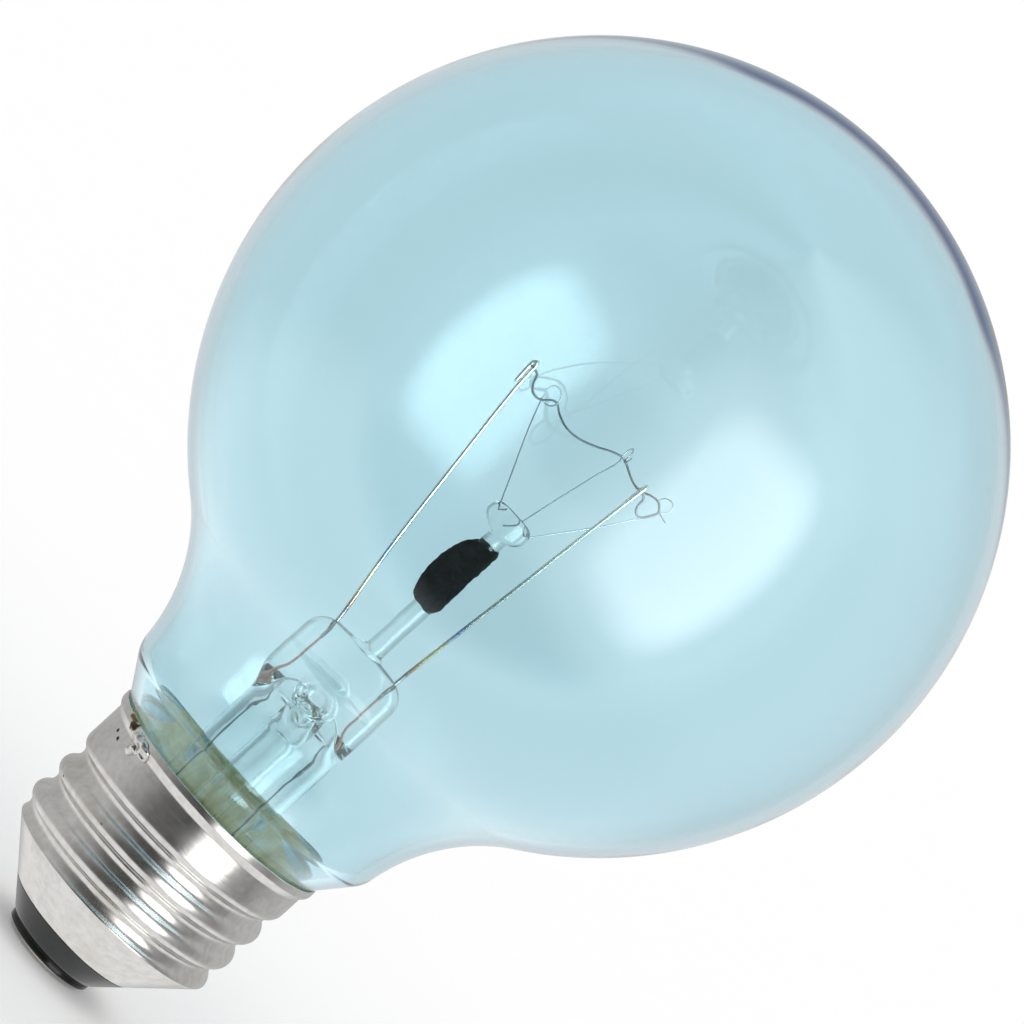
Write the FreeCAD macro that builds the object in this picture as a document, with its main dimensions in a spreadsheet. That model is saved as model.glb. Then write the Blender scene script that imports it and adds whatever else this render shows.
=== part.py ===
import FreeCAD, Part
import math
import os
import Sketcher

# Clear globe bulb with a screw base.
# The frame: +Z runs up the bulb's axis from the base to the globe, the origin is the lowest point
# of the centre contact, and -Y is the side with the solder on the rim. Lengths are in millimetres.

V = FreeCAD.Vector

# Driving sizes: alias, value, what it is
DRIVING_SIZES = (
    ("solder_dome_height", 0.2, "centre solder below the eyelet"),
    ("solder_dome_radius", 2.1, "centre solder, seen from below"),
    ("solder_flat", 1.3, "flat end of the centre solder, half its width"),
    ("eyelet_sheet", 0.25, "sheet thickness of the centre contact"),
    ("eyelet_radius", 3.6, "flange of the centre contact"),
    ("eyelet_bore", 0.85, "inside radius of the contact's barrel"),
    ("eyelet_barrel", 2.6, "barrel length above the flange"),
    ("foot_radius", 5.35, "bottom of the insulator"),
    ("foot_height", 0.65, "upright part of the insulator's foot"),
    ("foot_edge", 0.25, "rounding round the bottom of the foot"),
    ("insulator_cone_height", 3.0, "visible cone of the insulator"),
    ("insulator_inner_height", 2.6, "insulator inside the metal cone"),
    ("insulator_floor", 4.2, "insulator thickness round the eyelet"),
    ("cone_edge_radius", 8.1, "lower edge of the metal cone"),
    ("cone_height", 4.4, "metal cone up to the thread's root radius"),
    ("shell_sheet", 0.25, "sheet thickness of the screw shell"),
    ("crest_radius", 13.03, "thread crest and skirt"),
    ("thread_depth", 0.87, "thread crest to root"),
    ("thread_pitch", 3.629, "seven threads to the inch"),
    ("first_crest", 0.85, "first crest on +X above the cone"),
    ("thread_turns", 2.1, "turns of root before it runs out"),
    ("runout_turns", 0.3, "length of the run-out, in turns"),
    ("skirt_height", 0.81, "plain skirt above the run-out"),
    ("lip_height", 1.7, "flared rim of the shell"),
    ("lip_flare", 0.52, "how far the rim stands out"),
    ("seat_gap", 0.02, "clearance where base pieces seat on each other"),
    ("glass_gap", 0.3, "rim of the shell round the glass"),
    ("cement_height", 5.2, "ring of cement under the rim"),
    ("globe_radius", 40.0, "outside of the globe"),
    ("globe_lift", 10.2, "bottom of the whole sphere above the rim"),
    ("glass_wall", 1.2, "wall of the envelope"),
    ("neck_blend", 19.7, "hollow curve from globe to neck"),
    ("shoulder_stand", 3.42, "waist of the neck outside the skirt"),
    ("shoulder_rise", 5.57, "centre of the shoulder's curve above the rim"),
    ("shoulder_round", 3.5, "curve of the shoulder"),
    ("neck_gap", 1.78, "end of the neck inside the skirt"),
    ("neck_blend_low", 1.0, "curve where the neck turns straight"),
    ("neck_depth", 10.2, "end of the neck below the rim"),
    ("stem_radius", 5.7, "stem tube outside"),
    ("stem_wall", 1.0, "stem tube wall"),
    ("flare_height", 7.0, "flare from the round tube to the seal"),
    ("flare_lip", 0.35, "seal's face under the neck"),
    ("flare_edge", 1.0, "seal between the flare and the neck"),
    ("stem_shoulder", 12.3, "top of the round stem tube above the rim"),
    ("pinch_height", 3.0, "round tube to flat press"),
    ("press_top", 19.7, "top of the press above the rim"),
    ("press_width", 12.2, "press across the leads"),
    ("press_thickness", 4.4, "press along the view"),
    ("press_round", 2.6, "corners of the press"),
    ("vent_radius", 0.95, "air hole in the front of the press"),
    ("vent_ring", 1.3, "rounded lip round the air hole, to its middle"),
    ("vent_lip", 0.45, "rounded lip round the air hole, half its thickness"),
    ("exhaust_radius", 1.87, "exhaust tube outside"),
    ("exhaust_wall", 0.65, "exhaust tube wall"),
    ("exhaust_tip", 13.4, "closed tip of the exhaust tube below the rim"),
    ("cane_radius", 1.12, "glass rod on the press"),
    ("cane_length", 17.8, "rod from the press to its button"),
    ("button_radius", 2.7, "button that holds the support wires"),
    ("button_height", 2.3, "height of the button"),
    ("getter_rise", 7.2, "dark sleeve above the press"),
    ("getter_length", 9.0, "dark sleeve along the rod"),
    ("getter_radius", 1.95, "dark sleeve"),
    ("getter_shift", 0.55, "dark sleeve off the rod's axis, towards -X"),
    ("lead_wire", 0.21, "radius of the inner leads"),
    ("seal_wire", 0.2, "radius of the wires in the press"),
    ("outer_wire", 0.15, "radius of the wires to the base"),
    ("support_wire", 0.09, "radius of the support wires"),
    ("coil_radius", 0.13, "outside radius of the filament's coil"),
    ("lead_length", 31.0, "filament's ends above the press"),
    ("lead_bite", 1.6, "end of a lead inside the press"),
    ("lead_foot", 4.15, "leads at the press, off the axis"),
    ("hook_bend", 0.37, "hairpin at the tip of a lead"),
    ("filament_tail", 0.8, "filament's end past a hook"),
    ("filament_grip", 0.45, "level stretch of filament each side of a hook or an eye"),
    ("filament_bend", 1.5, "curve of the filament where it starts to sag"),
    ("hook_leg", 2.7, "free leg of the hairpin"),
    ("left_hook_x", -10.05, "tip of the left lead"),
    ("left_hook_y", -1.0, "tip of the left lead"),
    ("right_hook_x", 5.95, "tip of the right lead"),
    ("right_hook_y", -7.0, "tip of the right lead"),
    ("left_eye_x", -6.7, "eye of the left support"),
    ("left_eye_y", 6.2, "eye of the left support"),
    ("left_eye_rise", -0.95, "eye against the filament's ends"),
    ("middle_eye_x", 2.5, "eye of the middle support"),
    ("middle_eye_y", 9.2, "eye of the middle support"),
    ("middle_eye_rise", 0.4, "eye against the filament's ends"),
    ("right_eye_x", 8.6, "eye of the right support"),
    ("right_eye_y", 3.6, "eye of the right support"),
    ("right_eye_rise", 0.0, "eye against the filament's ends"),
    ("eye_radius", 0.8, "bend of an eye, on the wire's centre line"),
    ("eye_turn", 290.0, "how far round an eye the wire goes, in degrees"),
    ("support_root", 1.7, "foot of a support off the cane's axis"),
    ("support_bite", 0.9, "foot of a support inside the button"),
    ("support_leg", 0.9, "foot of a support, turned aside in the button"),
    ("support_bend", 0.25, "bend at the foot of a support"),
    ("sag", 1.4, "filament between two supports"),
    ("rim_wire_angle", 227.0, "way of the wire to the rim, from +X in degrees"),
    ("rim_wire_hole", 0.3, "radius of the hole that it comes out of"),
    ("rim_wire_stub", 0.3, "end of that wire outside the skirt"),
    ("wire_clearance", 0.3, "wires to the base off the glass"),
    ("wire_bend", 1.0, "bends of the wires in the base"),
    ("weld_bead", 0.35, "bead where a wire to the base is welded on"),
    ("solder_width", 2.1, "solder on the rim, half its width"),
    ("solder_drop", 1.6, "solder on the rim, half its height"),
    ("solder_stand", 0.85, "solder on the rim, how far it stands out"),
)

doc = FreeCAD.newDocument("globe_bulb")
sheet = doc.addObject("Spreadsheet::Sheet", "Sizes")
for row, (alias, value, meaning) in enumerate(DRIVING_SIZES, start=1):
    sheet.set(f"A{row}", meaning)
    sheet.set(f"B{row}", str(value))
    sheet.setAlias(f"B{row}", alias)
doc.recompute()


# A size that carries its value and the sheet formula that gives it
class Size:
    def __init__(self, value, formula):
        self.value = float(value)
        self.formula = formula

    def __add__(self, other):
        other = as_size(other)
        return Size(self.value + other.value, f"({self.formula} + {other.formula})")

    def __sub__(self, other):
        other = as_size(other)
        return Size(self.value - other.value, f"({self.formula} - {other.formula})")

    def __mul__(self, factor):
        factor = as_size(factor)
        return Size(self.value * factor.value, f"({self.formula} * {factor.formula})")

    def __truediv__(self, factor):
        factor = as_size(factor)
        return Size(self.value / factor.value, f"({self.formula} / {factor.formula})")


def as_size(number):
    if isinstance(number, Size):
        return number
    return Size(number, str(number))


def cell(alias):
    return Size(sheet.get(alias), f"Sizes.{alias}")


def square_root(size):
    return Size(math.sqrt(size.value), f"sqrt({size.formula})")


# Radius of an arc that leaves one side of a box upright and ends in the opposite corner
def corner_arc(width, height):
    return (width * width + height * height) / (width * 2)


# Share of the rim that stands upright above its flare
lip_straight = 0.4

# Curve of the button's side, as a share of the button's height
button_curve = 0.6

# Heights above the origin, from the base upwards
flange_bottom = cell("solder_dome_height")
foot_bottom = flange_bottom + cell("eyelet_sheet")
foot_top = foot_bottom + cell("foot_height")
cone_bottom = foot_top + cell("insulator_cone_height")
cone_top = cone_bottom + cell("cone_height")
root_radius = cell("crest_radius") - cell("thread_depth")
thread_length = cell("first_crest") + cell("thread_pitch") * (cell("thread_turns") + cell("runout_turns") + 1)
thread_end = cone_top + thread_length
lip_foot = thread_end + cell("skirt_height")
rim = lip_foot + cell("lip_height")
shell_height = rim - cone_bottom
globe_centre = rim + cell("globe_lift") + cell("globe_radius")
neck_end = rim - cell("neck_depth")
stem_ceiling = rim + cell("stem_shoulder")
press_foot = stem_ceiling + cell("pinch_height")
press_top = rim + cell("press_top")
button_foot = press_top + cell("cane_length")
button_top = button_foot + cell("button_height")
lip_full = rim - cell("lip_height") * lip_straight
rim_wire_exit = rim - cell("solder_drop")
insulator_top = foot_bottom + cell("insulator_floor")
exhaust_end = rim - cell("exhaust_tip")
skirt_inside = cell("crest_radius") - cell("shell_sheet")
neck_radius = skirt_inside - cell("neck_gap")
neck_inside = neck_radius - cell("glass_wall")
shoulder_radius = cell("crest_radius") + cell("shoulder_stand")
glass_at_rim = cell("crest_radius") + cell("lip_flare") - cell("glass_gap")
shoulder_across = shoulder_radius - cell("shoulder_round")
shoulder_up = rim + cell("shoulder_rise")
stem_bore = cell("stem_radius") - cell("stem_wall")
cone_slope = (root_radius - cell("cone_edge_radius")) / cell("cone_height")
sheet_across_cone = cell("shell_sheet") * square_root(cone_slope * cone_slope + 1)
filament_height = press_top + cell("lead_length")

# The neck's wall runs straight from the shoulder's curve past the rim to the end inside the base
rim_step = glass_at_rim - shoulder_across
wall_run = square_root(rim_step * rim_step + cell("shoulder_rise") * cell("shoulder_rise")
                       - cell("shoulder_round") * cell("shoulder_round"))
neck_slope = ((cell("shoulder_rise") * cell("shoulder_round") - rim_step * wall_run)
              / (cell("shoulder_rise") * wall_run + rim_step * cell("shoulder_round")))
neck_turn = rim - (glass_at_rim - neck_radius) / neck_slope


# Sketch helpers
def new_body(label):
    body = doc.addObject("PartDesign::Body", label)
    body.Label = label
    return body


def new_sketch(body, name, role="XZ_Plane"):
    sketch = body.newObject("Sketcher::SketchObject", name)
    planes = [item for item in body.Origin.OriginFeatures if item.Role == role]
    sketch.AttachmentSupport = (planes[0], [""])
    sketch.MapMode = "FlatFace"
    return sketch


def bind(sketch, kind, items, size):
    index = sketch.addConstraint(Sketcher.Constraint(kind, *items, size.value))
    sketch.setExpression(f"Constraints[{index}]", size.formula)
    return index


def pin_point(sketch, geometry, end, across, up):
    if across is None:
        sketch.addConstraint(Sketcher.Constraint("PointOnObject", geometry, end, -2))
    else:
        bind(sketch, "DistanceX", (-1, 1, geometry, end), across)
    bind(sketch, "DistanceY", (-1, 1, geometry, end), up)


# A closed outline of straight lines and arcs. A corner is (across, up) or, where an arc leads to the
# next corner, (across, up, radius), with a radius below zero for an arc that is hollow from outside.
# None as the first value puts the corner on the axis.
def draw_outline(sketch, corners):
    places = []
    for corner in corners:
        across = 0.0 if corner[0] is None else corner[0].value
        places.append(V(across, corner[1].value, 0))
    count = len(corners)
    for number, corner in enumerate(corners):
        start = places[number]
        end = places[(number + 1) % count]
        if len(corner) == 2:
            sketch.addGeometry(Part.LineSegment(start, end))
        else:
            sketch.addGeometry(arc_by_radius(start, end, corner[2].value))
    for number in range(count):
        following = (number + 1) % count
        meeting = places[following]
        sketch.addConstraint(Sketcher.Constraint(
            "Coincident", number, end_near(sketch, number, meeting),
            following, end_near(sketch, following, meeting)))
    for number, corner in enumerate(corners):
        pin_point(sketch, number, end_near(sketch, number, places[number]), corner[0], corner[1])
        if len(corner) == 3:
            radius = corner[2] if corner[2].value > 0 else corner[2] * -1
            bind(sketch, "Radius", (number,), radius)


# The outline runs anticlockwise, so a bulging arc has its centre on the left of start to end
def arc_by_radius(start, end, radius):
    half = (end - start) * 0.5
    reach = math.sqrt(radius ** 2 - half.Length ** 2)
    left = V(0, 0, 1).cross(half).normalize()
    centre = start + half + left * math.copysign(reach, radius)
    circle = Part.Circle(centre, V(0, 0, 1), abs(radius))
    first = math.atan2(start.y - centre.y, start.x - centre.x)
    last = math.atan2(end.y - centre.y, end.x - centre.x)
    if radius < 0:
        first, last = last, first
    return Part.ArcOfCircle(circle, first, last)


def end_near(sketch, number, place):
    first = (sketch.getPoint(number, 1) - place).Length
    last = (sketch.getPoint(number, 2) - place).Length
    return 1 if first < last else 2


def revolve(body, sketch):
    turn = body.newObject("PartDesign::Revolution", f"{body.Name}_turn")
    turn.Profile = sketch
    turn.ReferenceAxis = (sketch, ["V_Axis"])
    turn.Angle = 360
    sketch.Visibility = False
    return turn


def turned_body(label, corners):
    body = new_body(label)
    sketch = new_sketch(body, f"{label}_outline")
    draw_outline(sketch, corners)
    revolve(body, sketch)
    return body


# Outlines made of arcs and lines that run on smoothly from one to the next
def arc_at(centre, radius, first_angle, last_angle):
    circle = Part.Circle(centre, V(0, 0, 1), radius)
    return Part.ArcOfCircle(circle, math.radians(first_angle), math.radians(last_angle))


def smooth_joint(sketch, first, first_end, second, second_end):
    sketch.addConstraint(Sketcher.Constraint("Tangent", first, first_end, second, second_end))


def corner_joint(sketch, first, first_end, second, second_end):
    sketch.addConstraint(Sketcher.Constraint("Coincident", first, first_end, second, second_end))


def angle_to(centre, place):
    return math.degrees(math.atan2(place.y - centre.y, place.x - centre.x))


# Centre of a circle that touches two others from outside, on the side away from the axis
def outside_centre(first, first_reach, second, second_reach):
    span = second - first
    along = (first_reach ** 2 - second_reach ** 2 + span.Length ** 2) / (2 * span.Length)
    across = math.sqrt(first_reach ** 2 - along ** 2)
    unit = V(span).normalize()
    normal = V(0, 0, 1).cross(unit)
    choices = [first + unit * along + normal * across, first + unit * along - normal * across]
    return max(choices, key=lambda place: place.x)


# Envelope: one blown glass wall, globe, neck, shoulder and the end that is sealed to the stem.
# The outer wall is drawn from the pole down and the inner wall follows it round the same centres.
def make_envelope():
    body = new_body("glass_envelope")
    sketch = new_sketch(body, "envelope_outline")
    wall = cell("glass_wall")
    globe = V(0, globe_centre.value, 0)
    shoulder = V(shoulder_across.value, shoulder_up.value, 0)
    big = cell("globe_radius").value
    blend = cell("neck_blend").value
    crest = cell("shoulder_round").value
    low = cell("neck_blend_low").value
    hollow = outside_centre(globe, big + blend, shoulder, crest + blend)
    rim_point = V(glass_at_rim.value, rim.value, 0)
    run = V(-neck_slope.value, -1, 0).normalize()
    normal = V(-run.y, run.x, 0)
    neck_centre_x = neck_radius.value + low
    touch = shoulder + normal * crest
    travel = (neck_centre_x - (touch + normal * low).x) / run.x
    neck = touch + normal * low + run * travel
    outer_walls = (0.0, -wall.value)
    curves = []
    for inset in outer_walls:
        curves.append(arc_at(globe, big + inset, angle_to(globe, hollow), 90))
        curves.append(arc_at(hollow, blend - inset, angle_to(hollow, globe), angle_to(hollow, shoulder)))
        curves.append(arc_at(shoulder, crest + inset, angle_to(shoulder, touch),
                             angle_to(shoulder, hollow)))
        upper = shoulder + normal * (crest + inset)
        lower = neck - normal * (low - inset)
        curves.append(Part.LineSegment(upper, lower))
        curves.append(arc_at(neck, low - inset, angle_to(V(0, 0, 0), normal * -1), 180))
        side = neck_centre_x - low + inset
        curves.append(Part.LineSegment(V(side, neck.y, 0), V(side, neck_end.value, 0)))
    for curve in curves:
        sketch.addGeometry(curve)
    outer, inner = 0, 6
    end = sketch.addGeometry(Part.LineSegment(
        V(neck_radius.value, neck_end.value, 0), V(neck_inside.value, neck_end.value, 0)))
    pole = sketch.addGeometry(Part.LineSegment(
        V(0, globe_centre.value + big - wall.value, 0), V(0, globe_centre.value + big, 0)))
    for first in (outer, inner):
        smooth_joint(sketch, first, 1, first + 1, 1)
        smooth_joint(sketch, first + 1, 2, first + 2, 2)
        smooth_joint(sketch, first + 2, 1, first + 3, 1)
        smooth_joint(sketch, first + 3, 2, first + 4, 1)
        smooth_joint(sketch, first + 4, 2, first + 5, 1)
        sketch.addConstraint(Sketcher.Constraint("Vertical", first + 5))
        sketch.addConstraint(Sketcher.Constraint("PointOnObject", first, 2, -2))
    corner_joint(sketch, outer + 5, 2, end, 1)
    corner_joint(sketch, inner + 5, 2, end, 2)
    corner_joint(sketch, inner, 2, pole, 1)
    corner_joint(sketch, outer, 2, pole, 2)
    for number in range(5):
        if number != 3:
            sketch.addConstraint(Sketcher.Constraint(
                "Coincident", outer + number, 3, inner + number, 3))
    sketch.addConstraint(Sketcher.Constraint("PointOnObject", outer, 3, -2))
    bind(sketch, "DistanceY", (-1, 1, outer, 3), globe_centre)
    bind(sketch, "Radius", (outer,), cell("globe_radius"))
    bind(sketch, "Radius", (inner,), cell("globe_radius") - wall)
    bind(sketch, "Radius", (outer + 1,), cell("neck_blend"))
    bind(sketch, "DistanceX", (-1, 1, outer + 2, 3), shoulder_across)
    bind(sketch, "DistanceY", (-1, 1, outer + 2, 3), shoulder_up)
    bind(sketch, "Radius", (outer + 2,), cell("shoulder_round"))
    bind(sketch, "Radius", (outer + 4,), cell("neck_blend_low"))
    bind(sketch, "DistanceX", (-1, 1, end, 1), neck_radius)
    bind(sketch, "DistanceX", (-1, 1, end, 2), neck_inside)
    bind(sketch, "DistanceY", (-1, 1, end, 1), neck_end)
    sketch.addConstraint(Sketcher.Constraint("Horizontal", end))
    mark = sketch.addGeometry(Part.Point(rim_point), True)
    pin_point(sketch, mark, 1, glass_at_rim, rim)
    sketch.addConstraint(Sketcher.Constraint("PointOnObject", mark, 1, outer + 3))
    revolve(body, sketch)
    return body


# Stem tube: a flared glass tube, pinched flat round the leads
def make_stem(wires):
    flare_foot = neck_end + cell("flare_edge")
    flare_top = flare_foot + cell("flare_height")
    lip = neck_inside - cell("flare_lip")
    inner_curve = corner_arc(lip - stem_bore, flare_top - neck_end)
    outer_curve = corner_arc(neck_inside - cell("stem_radius"), cell("flare_height")) * -1
    tube = turned_body("stem_flare", (
        (stem_bore, stem_ceiling),
        (stem_bore, flare_top, inner_curve),
        (lip, neck_end),
        (neck_inside, neck_end),
        (neck_inside, flare_foot, outer_curve),
        (cell("stem_radius"), flare_top),
        (cell("stem_radius"), stem_ceiling)))
    round_end = ellipse("stem_round_end", cell("stem_radius"), cell("stem_radius"), stem_ceiling)
    flat_end = ellipse("stem_flat_end", cell("press_width") / 2, cell("press_thickness") / 2, press_foot)
    pinch = doc.addObject("Part::Loft", "stem_pinch")
    pinch.Sections = [round_end, flat_end]
    pinch.Solid = True
    pinch.Ruled = False
    slab = doc.addObject("Part::Extrusion", "press_slab")
    slab.Base = flat_end
    slab.DirMode = "Custom"
    slab.Dir = V(0, 0, 1)
    slab.setExpression("LengthFwd", (press_top - press_foot).formula)
    slab.Solid = True
    front = new_body("press_front")
    sketch = new_sketch(front, "press_outline")
    half = cell("press_width") / 2
    corner = cell("press_round")
    draw_outline(sketch, (
        (half * -1, press_foot),
        (half, press_foot),
        (half, press_top - corner, corner),
        (half - corner, press_top),
        (half * -1 + corner, press_top, corner),
        (half * -1, press_top - corner)))
    pad = front.newObject("PartDesign::Pad", "press_front_pad")
    pad.Profile = sketch
    pad.Midplane = True
    pad.setExpression("Length", (cell("press_thickness") * 2).formula)
    press = common("press", slab, front)
    vent_height = stem_ceiling + cell("pinch_height") + cell("vent_radius")
    lip = doc.addObject("Part::Torus", "vent_lip_ring")
    lip.setExpression("Radius1", cell("vent_ring").formula)
    lip.setExpression("Radius2", cell("vent_lip").formula)
    lip.Placement.Rotation = FreeCAD.Rotation(V(1, 0, 0), 90)
    lip.setExpression(".Placement.Base.y", (cell("vent_lip") / 2 - cell("press_thickness") / 2).formula)
    lip.setExpression(".Placement.Base.z", vent_height.formula)
    glass = fuse("stem_glass", (tube, pinch, press, lip))
    bore = cylinder("vent_bore", cell("exhaust_radius") - cell("exhaust_wall"),
                    vent_height - stem_ceiling, stem_ceiling)
    hole = cylinder("vent_hole", cell("vent_radius"), cell("press_thickness"), vent_height)
    hole.Placement.Rotation = FreeCAD.Rotation(V(1, 0, 0), 90)
    passages = fuse("stem_passages", [bore, hole] + list(wires))
    return cut("stem_tube", glass, passages)


def make_exhaust():
    radius = cell("exhaust_radius")
    inside = radius - cell("exhaust_wall")
    tip = exhaust_end
    return turned_body("exhaust_tube", (
        (None, tip, radius),
        (radius, tip + radius),
        (radius, stem_ceiling),
        (inside, stem_ceiling),
        (inside, tip + radius, inside * -1),
        (None, tip + cell("exhaust_wall"))))


# Glass rod with a button at its head, where the support wires are set
def make_cane(supports):
    radius = cell("cane_radius")
    height = cell("button_height")
    side = height * button_curve
    flat = cell("button_radius") - side + square_root(side * side - height * height / 4)
    rod = turned_body("cane_glass", (
        (None, press_top),
        (radius, press_top),
        (radius, button_foot),
        (flat, button_foot, side),
        (flat, button_top),
        (None, button_top)))
    return cut("support_cane", rod, fuse("support_feet", supports))


# Dark sleeve on the rod, thicker on one side
def make_getter(cane):
    radius = cell("getter_radius")
    foot = press_top + cell("getter_rise")
    top = foot + cell("getter_length")
    corner = radius / 2
    sleeve = turned_body("getter_blank", (
        (None, foot),
        (radius - corner, foot, corner),
        (radius, foot + corner),
        (radius, top - corner, corner),
        (radius - corner, top),
        (None, top)))
    sleeve.setExpression(".Placement.Base.x", (cell("getter_shift") * -1).formula)
    return cut("getter_sleeve", sleeve, cane)


# Insulator: fills the metal cone and ends in the black foot round the centre contact
def make_insulator():
    hole = cell("eyelet_bore") + cell("eyelet_sheet") + cell("seat_gap")
    edge = cell("foot_edge")
    seat = cell("cone_edge_radius") - sheet_across_cone - cell("seat_gap")
    inner_height = cell("insulator_inner_height")
    return turned_body("base_insulator", (
        (hole, foot_bottom),
        (cell("foot_radius") - edge, foot_bottom, edge),
        (cell("foot_radius"), foot_bottom + edge),
        (cell("foot_radius"), foot_top),
        (cell("cone_edge_radius"), cone_bottom),
        (seat, cone_bottom),
        (seat + cone_slope * inner_height, cone_bottom + inner_height),
        (hole * 2, insulator_top),
        (hole, insulator_top)))


# Centre contact: an eyelet through the insulator, filled with solder round the wire
def make_contact():
    bore = cell("eyelet_bore")
    outside = bore + cell("eyelet_sheet")
    return turned_body("centre_contact", (
        (bore, flange_bottom),
        (cell("eyelet_radius"), flange_bottom),
        (cell("eyelet_radius"), foot_bottom),
        (outside, foot_bottom),
        (outside, foot_bottom + cell("eyelet_barrel")),
        (bore, foot_bottom + cell("eyelet_barrel"))))


def make_centre_solder(wire):
    flat = cell("solder_flat")
    edge = corner_arc(cell("solder_dome_height"), cell("solder_dome_radius") - flat)
    top = foot_bottom + cell("eyelet_barrel") / 2
    plug = turned_body("solder_plug", (
        (None, as_size(0)),
        (flat, as_size(0), edge),
        (cell("solder_dome_radius"), flange_bottom),
        (cell("eyelet_bore"), flange_bottom),
        (cell("eyelet_bore"), top),
        (None, top)))
    return cut("centre_solder", plug, wire)


# Cement between the neck and the base, under the rim. Below the skirt it keeps inside the thread.
def make_cement(envelope, wire):
    outside = skirt_inside - cell("seat_gap")
    in_thread = outside - cell("thread_depth")
    foot = rim - cell("cement_height")
    top = rim - cell("shell_sheet")
    in_glass = cell("glass_wall") / 2
    ring = turned_body("cement_ring", (
        (neck_radius - in_glass, foot),
        (in_thread, foot),
        (in_thread, thread_end),
        (outside, thread_end),
        (outside, lip_foot),
        (outside + cell("lip_flare") / 2, top),
        (glass_at_rim - in_glass, top),
        (neck_radius - in_glass, neck_turn)))
    return cut("basing_cement", ring, fuse("cement_neighbours", (envelope, wire)))


# Part primitives and booleans
def cylinder(name, radius, height, foot):
    item = doc.addObject("Part::Cylinder", name)
    item.setExpression("Radius", radius.formula)
    item.setExpression("Height", height.formula)
    item.setExpression(".Placement.Base.z", foot.formula)
    return item


def ellipse(name, across, deep, height):
    item = doc.addObject("Part::Ellipse", name)
    item.setExpression("MajorRadius", across.formula)
    item.setExpression("MinorRadius", deep.formula)
    item.setExpression(".Placement.Base.z", height.formula)
    return item


def fuse(name, items):
    item = doc.addObject("Part::MultiFuse", name)
    item.Shapes = list(items)
    return item


def common(name, first, second):
    item = doc.addObject("Part::MultiCommon", name)
    item.Shapes = [first, second]
    return item


def cut(name, base, tool):
    item = doc.addObject("Part::Cut", name)
    item.Base = base
    item.Tool = tool
    return item


def feature(name, shape):
    item = doc.addObject("Part::Feature", name)
    item.Shape = shape
    return item


# Wires: straight runs joined by tangent arcs
def wire_route(points, bend):
    edges = []
    last = points[0]
    for number in range(1, len(points) - 1):
        corner = points[number]
        back = points[number - 1] - corner
        ahead = points[number + 1] - corner
        short = min(back.Length, ahead.Length)
        turn = math.pi - back.getAngle(ahead)
        if turn < 0.01:
            continue
        radius = min(bend, 0.45 * short / math.tan(turn / 2))
        setback = radius * math.tan(turn / 2)
        back.normalize()
        ahead.normalize()
        entry = corner + back * setback
        leave = corner + ahead * setback
        inward = (back + ahead).normalize()
        middle = corner + inward * (radius / math.cos(turn / 2) - radius)
        edges.append(Part.LineSegment(last, entry).toShape())
        edges.append(Part.Arc(entry, middle, leave).toShape())
        last = leave
    edges.append(Part.LineSegment(last, points[-1]).toShape())
    return Part.Wire(edges)


def wire_solid(route, radius):
    first = route.OrderedEdges[0]
    start = first.valueAt(first.FirstParameter)
    heading = first.tangentAt(first.FirstParameter)
    ring = Part.Wire(Part.Circle(start, heading, radius).toShape())
    return route.makePipeShell([ring], True, False)


def make_wire(name, points, radius, bend):
    route = wire_route(points, bend)
    solid = wire_solid(route, radius)
    share = solid.Volume / (math.pi * radius ** 2 * route.Length)
    print(name, "length", round(route.Length, 1), "volume share", round(share, 3))
    return feature(name, solid)


# A lead leaves the press upright, runs to its upright tip and is doubled back over the filament
def lead_points(side, hook, away):
    bend = cell("hook_bend").value
    foot = V(side * cell("lead_foot").value, 0, press_top.value - cell("lead_bite").value)
    knee = V(foot.x, 0, press_top.value + cell("lead_bite").value)
    crown = V(0, 0, filament_height.value + 2 * bend)
    leg = hook + away * (2 * bend)
    free_end = crown - V(0, 0, cell("hook_leg").value)
    return [foot, knee, hook + free_end, hook + crown, leg + crown, leg + free_end]


# A support wire has its foot turned aside in the button, and ends in an eye that the filament lies in
def support_wire(name, root, station, along):
    radius = cell("eye_radius").value
    room = radius - cell("support_wire").value - cell("coil_radius").value - cell("seat_gap").value
    eye = station + V(0, 0, room)
    line = eye - root
    length = line.Length
    line.normalize()
    across = along.cross(line).normalize()
    if across.z < 0:
        across = across * -1
    lean = math.asin(radius / length)
    start_angle = math.pi / 2 + lean
    places = []
    for share in (0, 0.5, 1):
        angle = start_angle - math.radians(share * cell("eye_turn").value)
        places.append(eye + line * (radius * math.cos(angle)) + across * (radius * math.sin(angle)))
    leg = V(0, 0, 1).cross(level(root)) * cell("support_leg").value
    foot = wire_route([root + leg, root, places[0]], cell("support_bend").value)
    bend = Part.Arc(*places).toShape()
    return feature(name, wire_solid(Part.Wire(foot.OrderedEdges + [bend]), cell("support_wire").value))


def polar(radius, angle, up):
    turn = math.radians(angle)
    return V(radius * math.cos(turn), radius * math.sin(turn), up)


def place_of(name):
    return V(cell(f"{name}_x").value, cell(f"{name}_y").value, 0)


# Filament: spans that sag between the hooks and the eyes, with a short tail past each hook
def level(vector):
    return V(vector.x, vector.y, 0).normalize()


lift = V(0, 0, filament_height.value)
hooks = {"left": place_of("left_hook"), "right": place_of("right_hook")}
eyes = {}
for name in ("left", "middle", "right"):
    eyes[name] = place_of(f"{name}_eye") + lift + V(0, 0, cell(f"{name}_eye_rise").value)


def make_leads():
    items = []
    held = []
    for name, side in (("left", -1), ("right", 1)):
        along = level(hooks[name] - eyes[name])
        away = V(0, 0, 1).cross(along)
        if away.x > 0:
            away = away * -1
        items.append(make_wire(f"lead_wire_{name}", lead_points(side, hooks[name], away),
                               cell("lead_wire").value, cell("hook_bend").value))
        held.append(hooks[name] + lift + away * cell("hook_bend").value)
    return items, held


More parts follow.
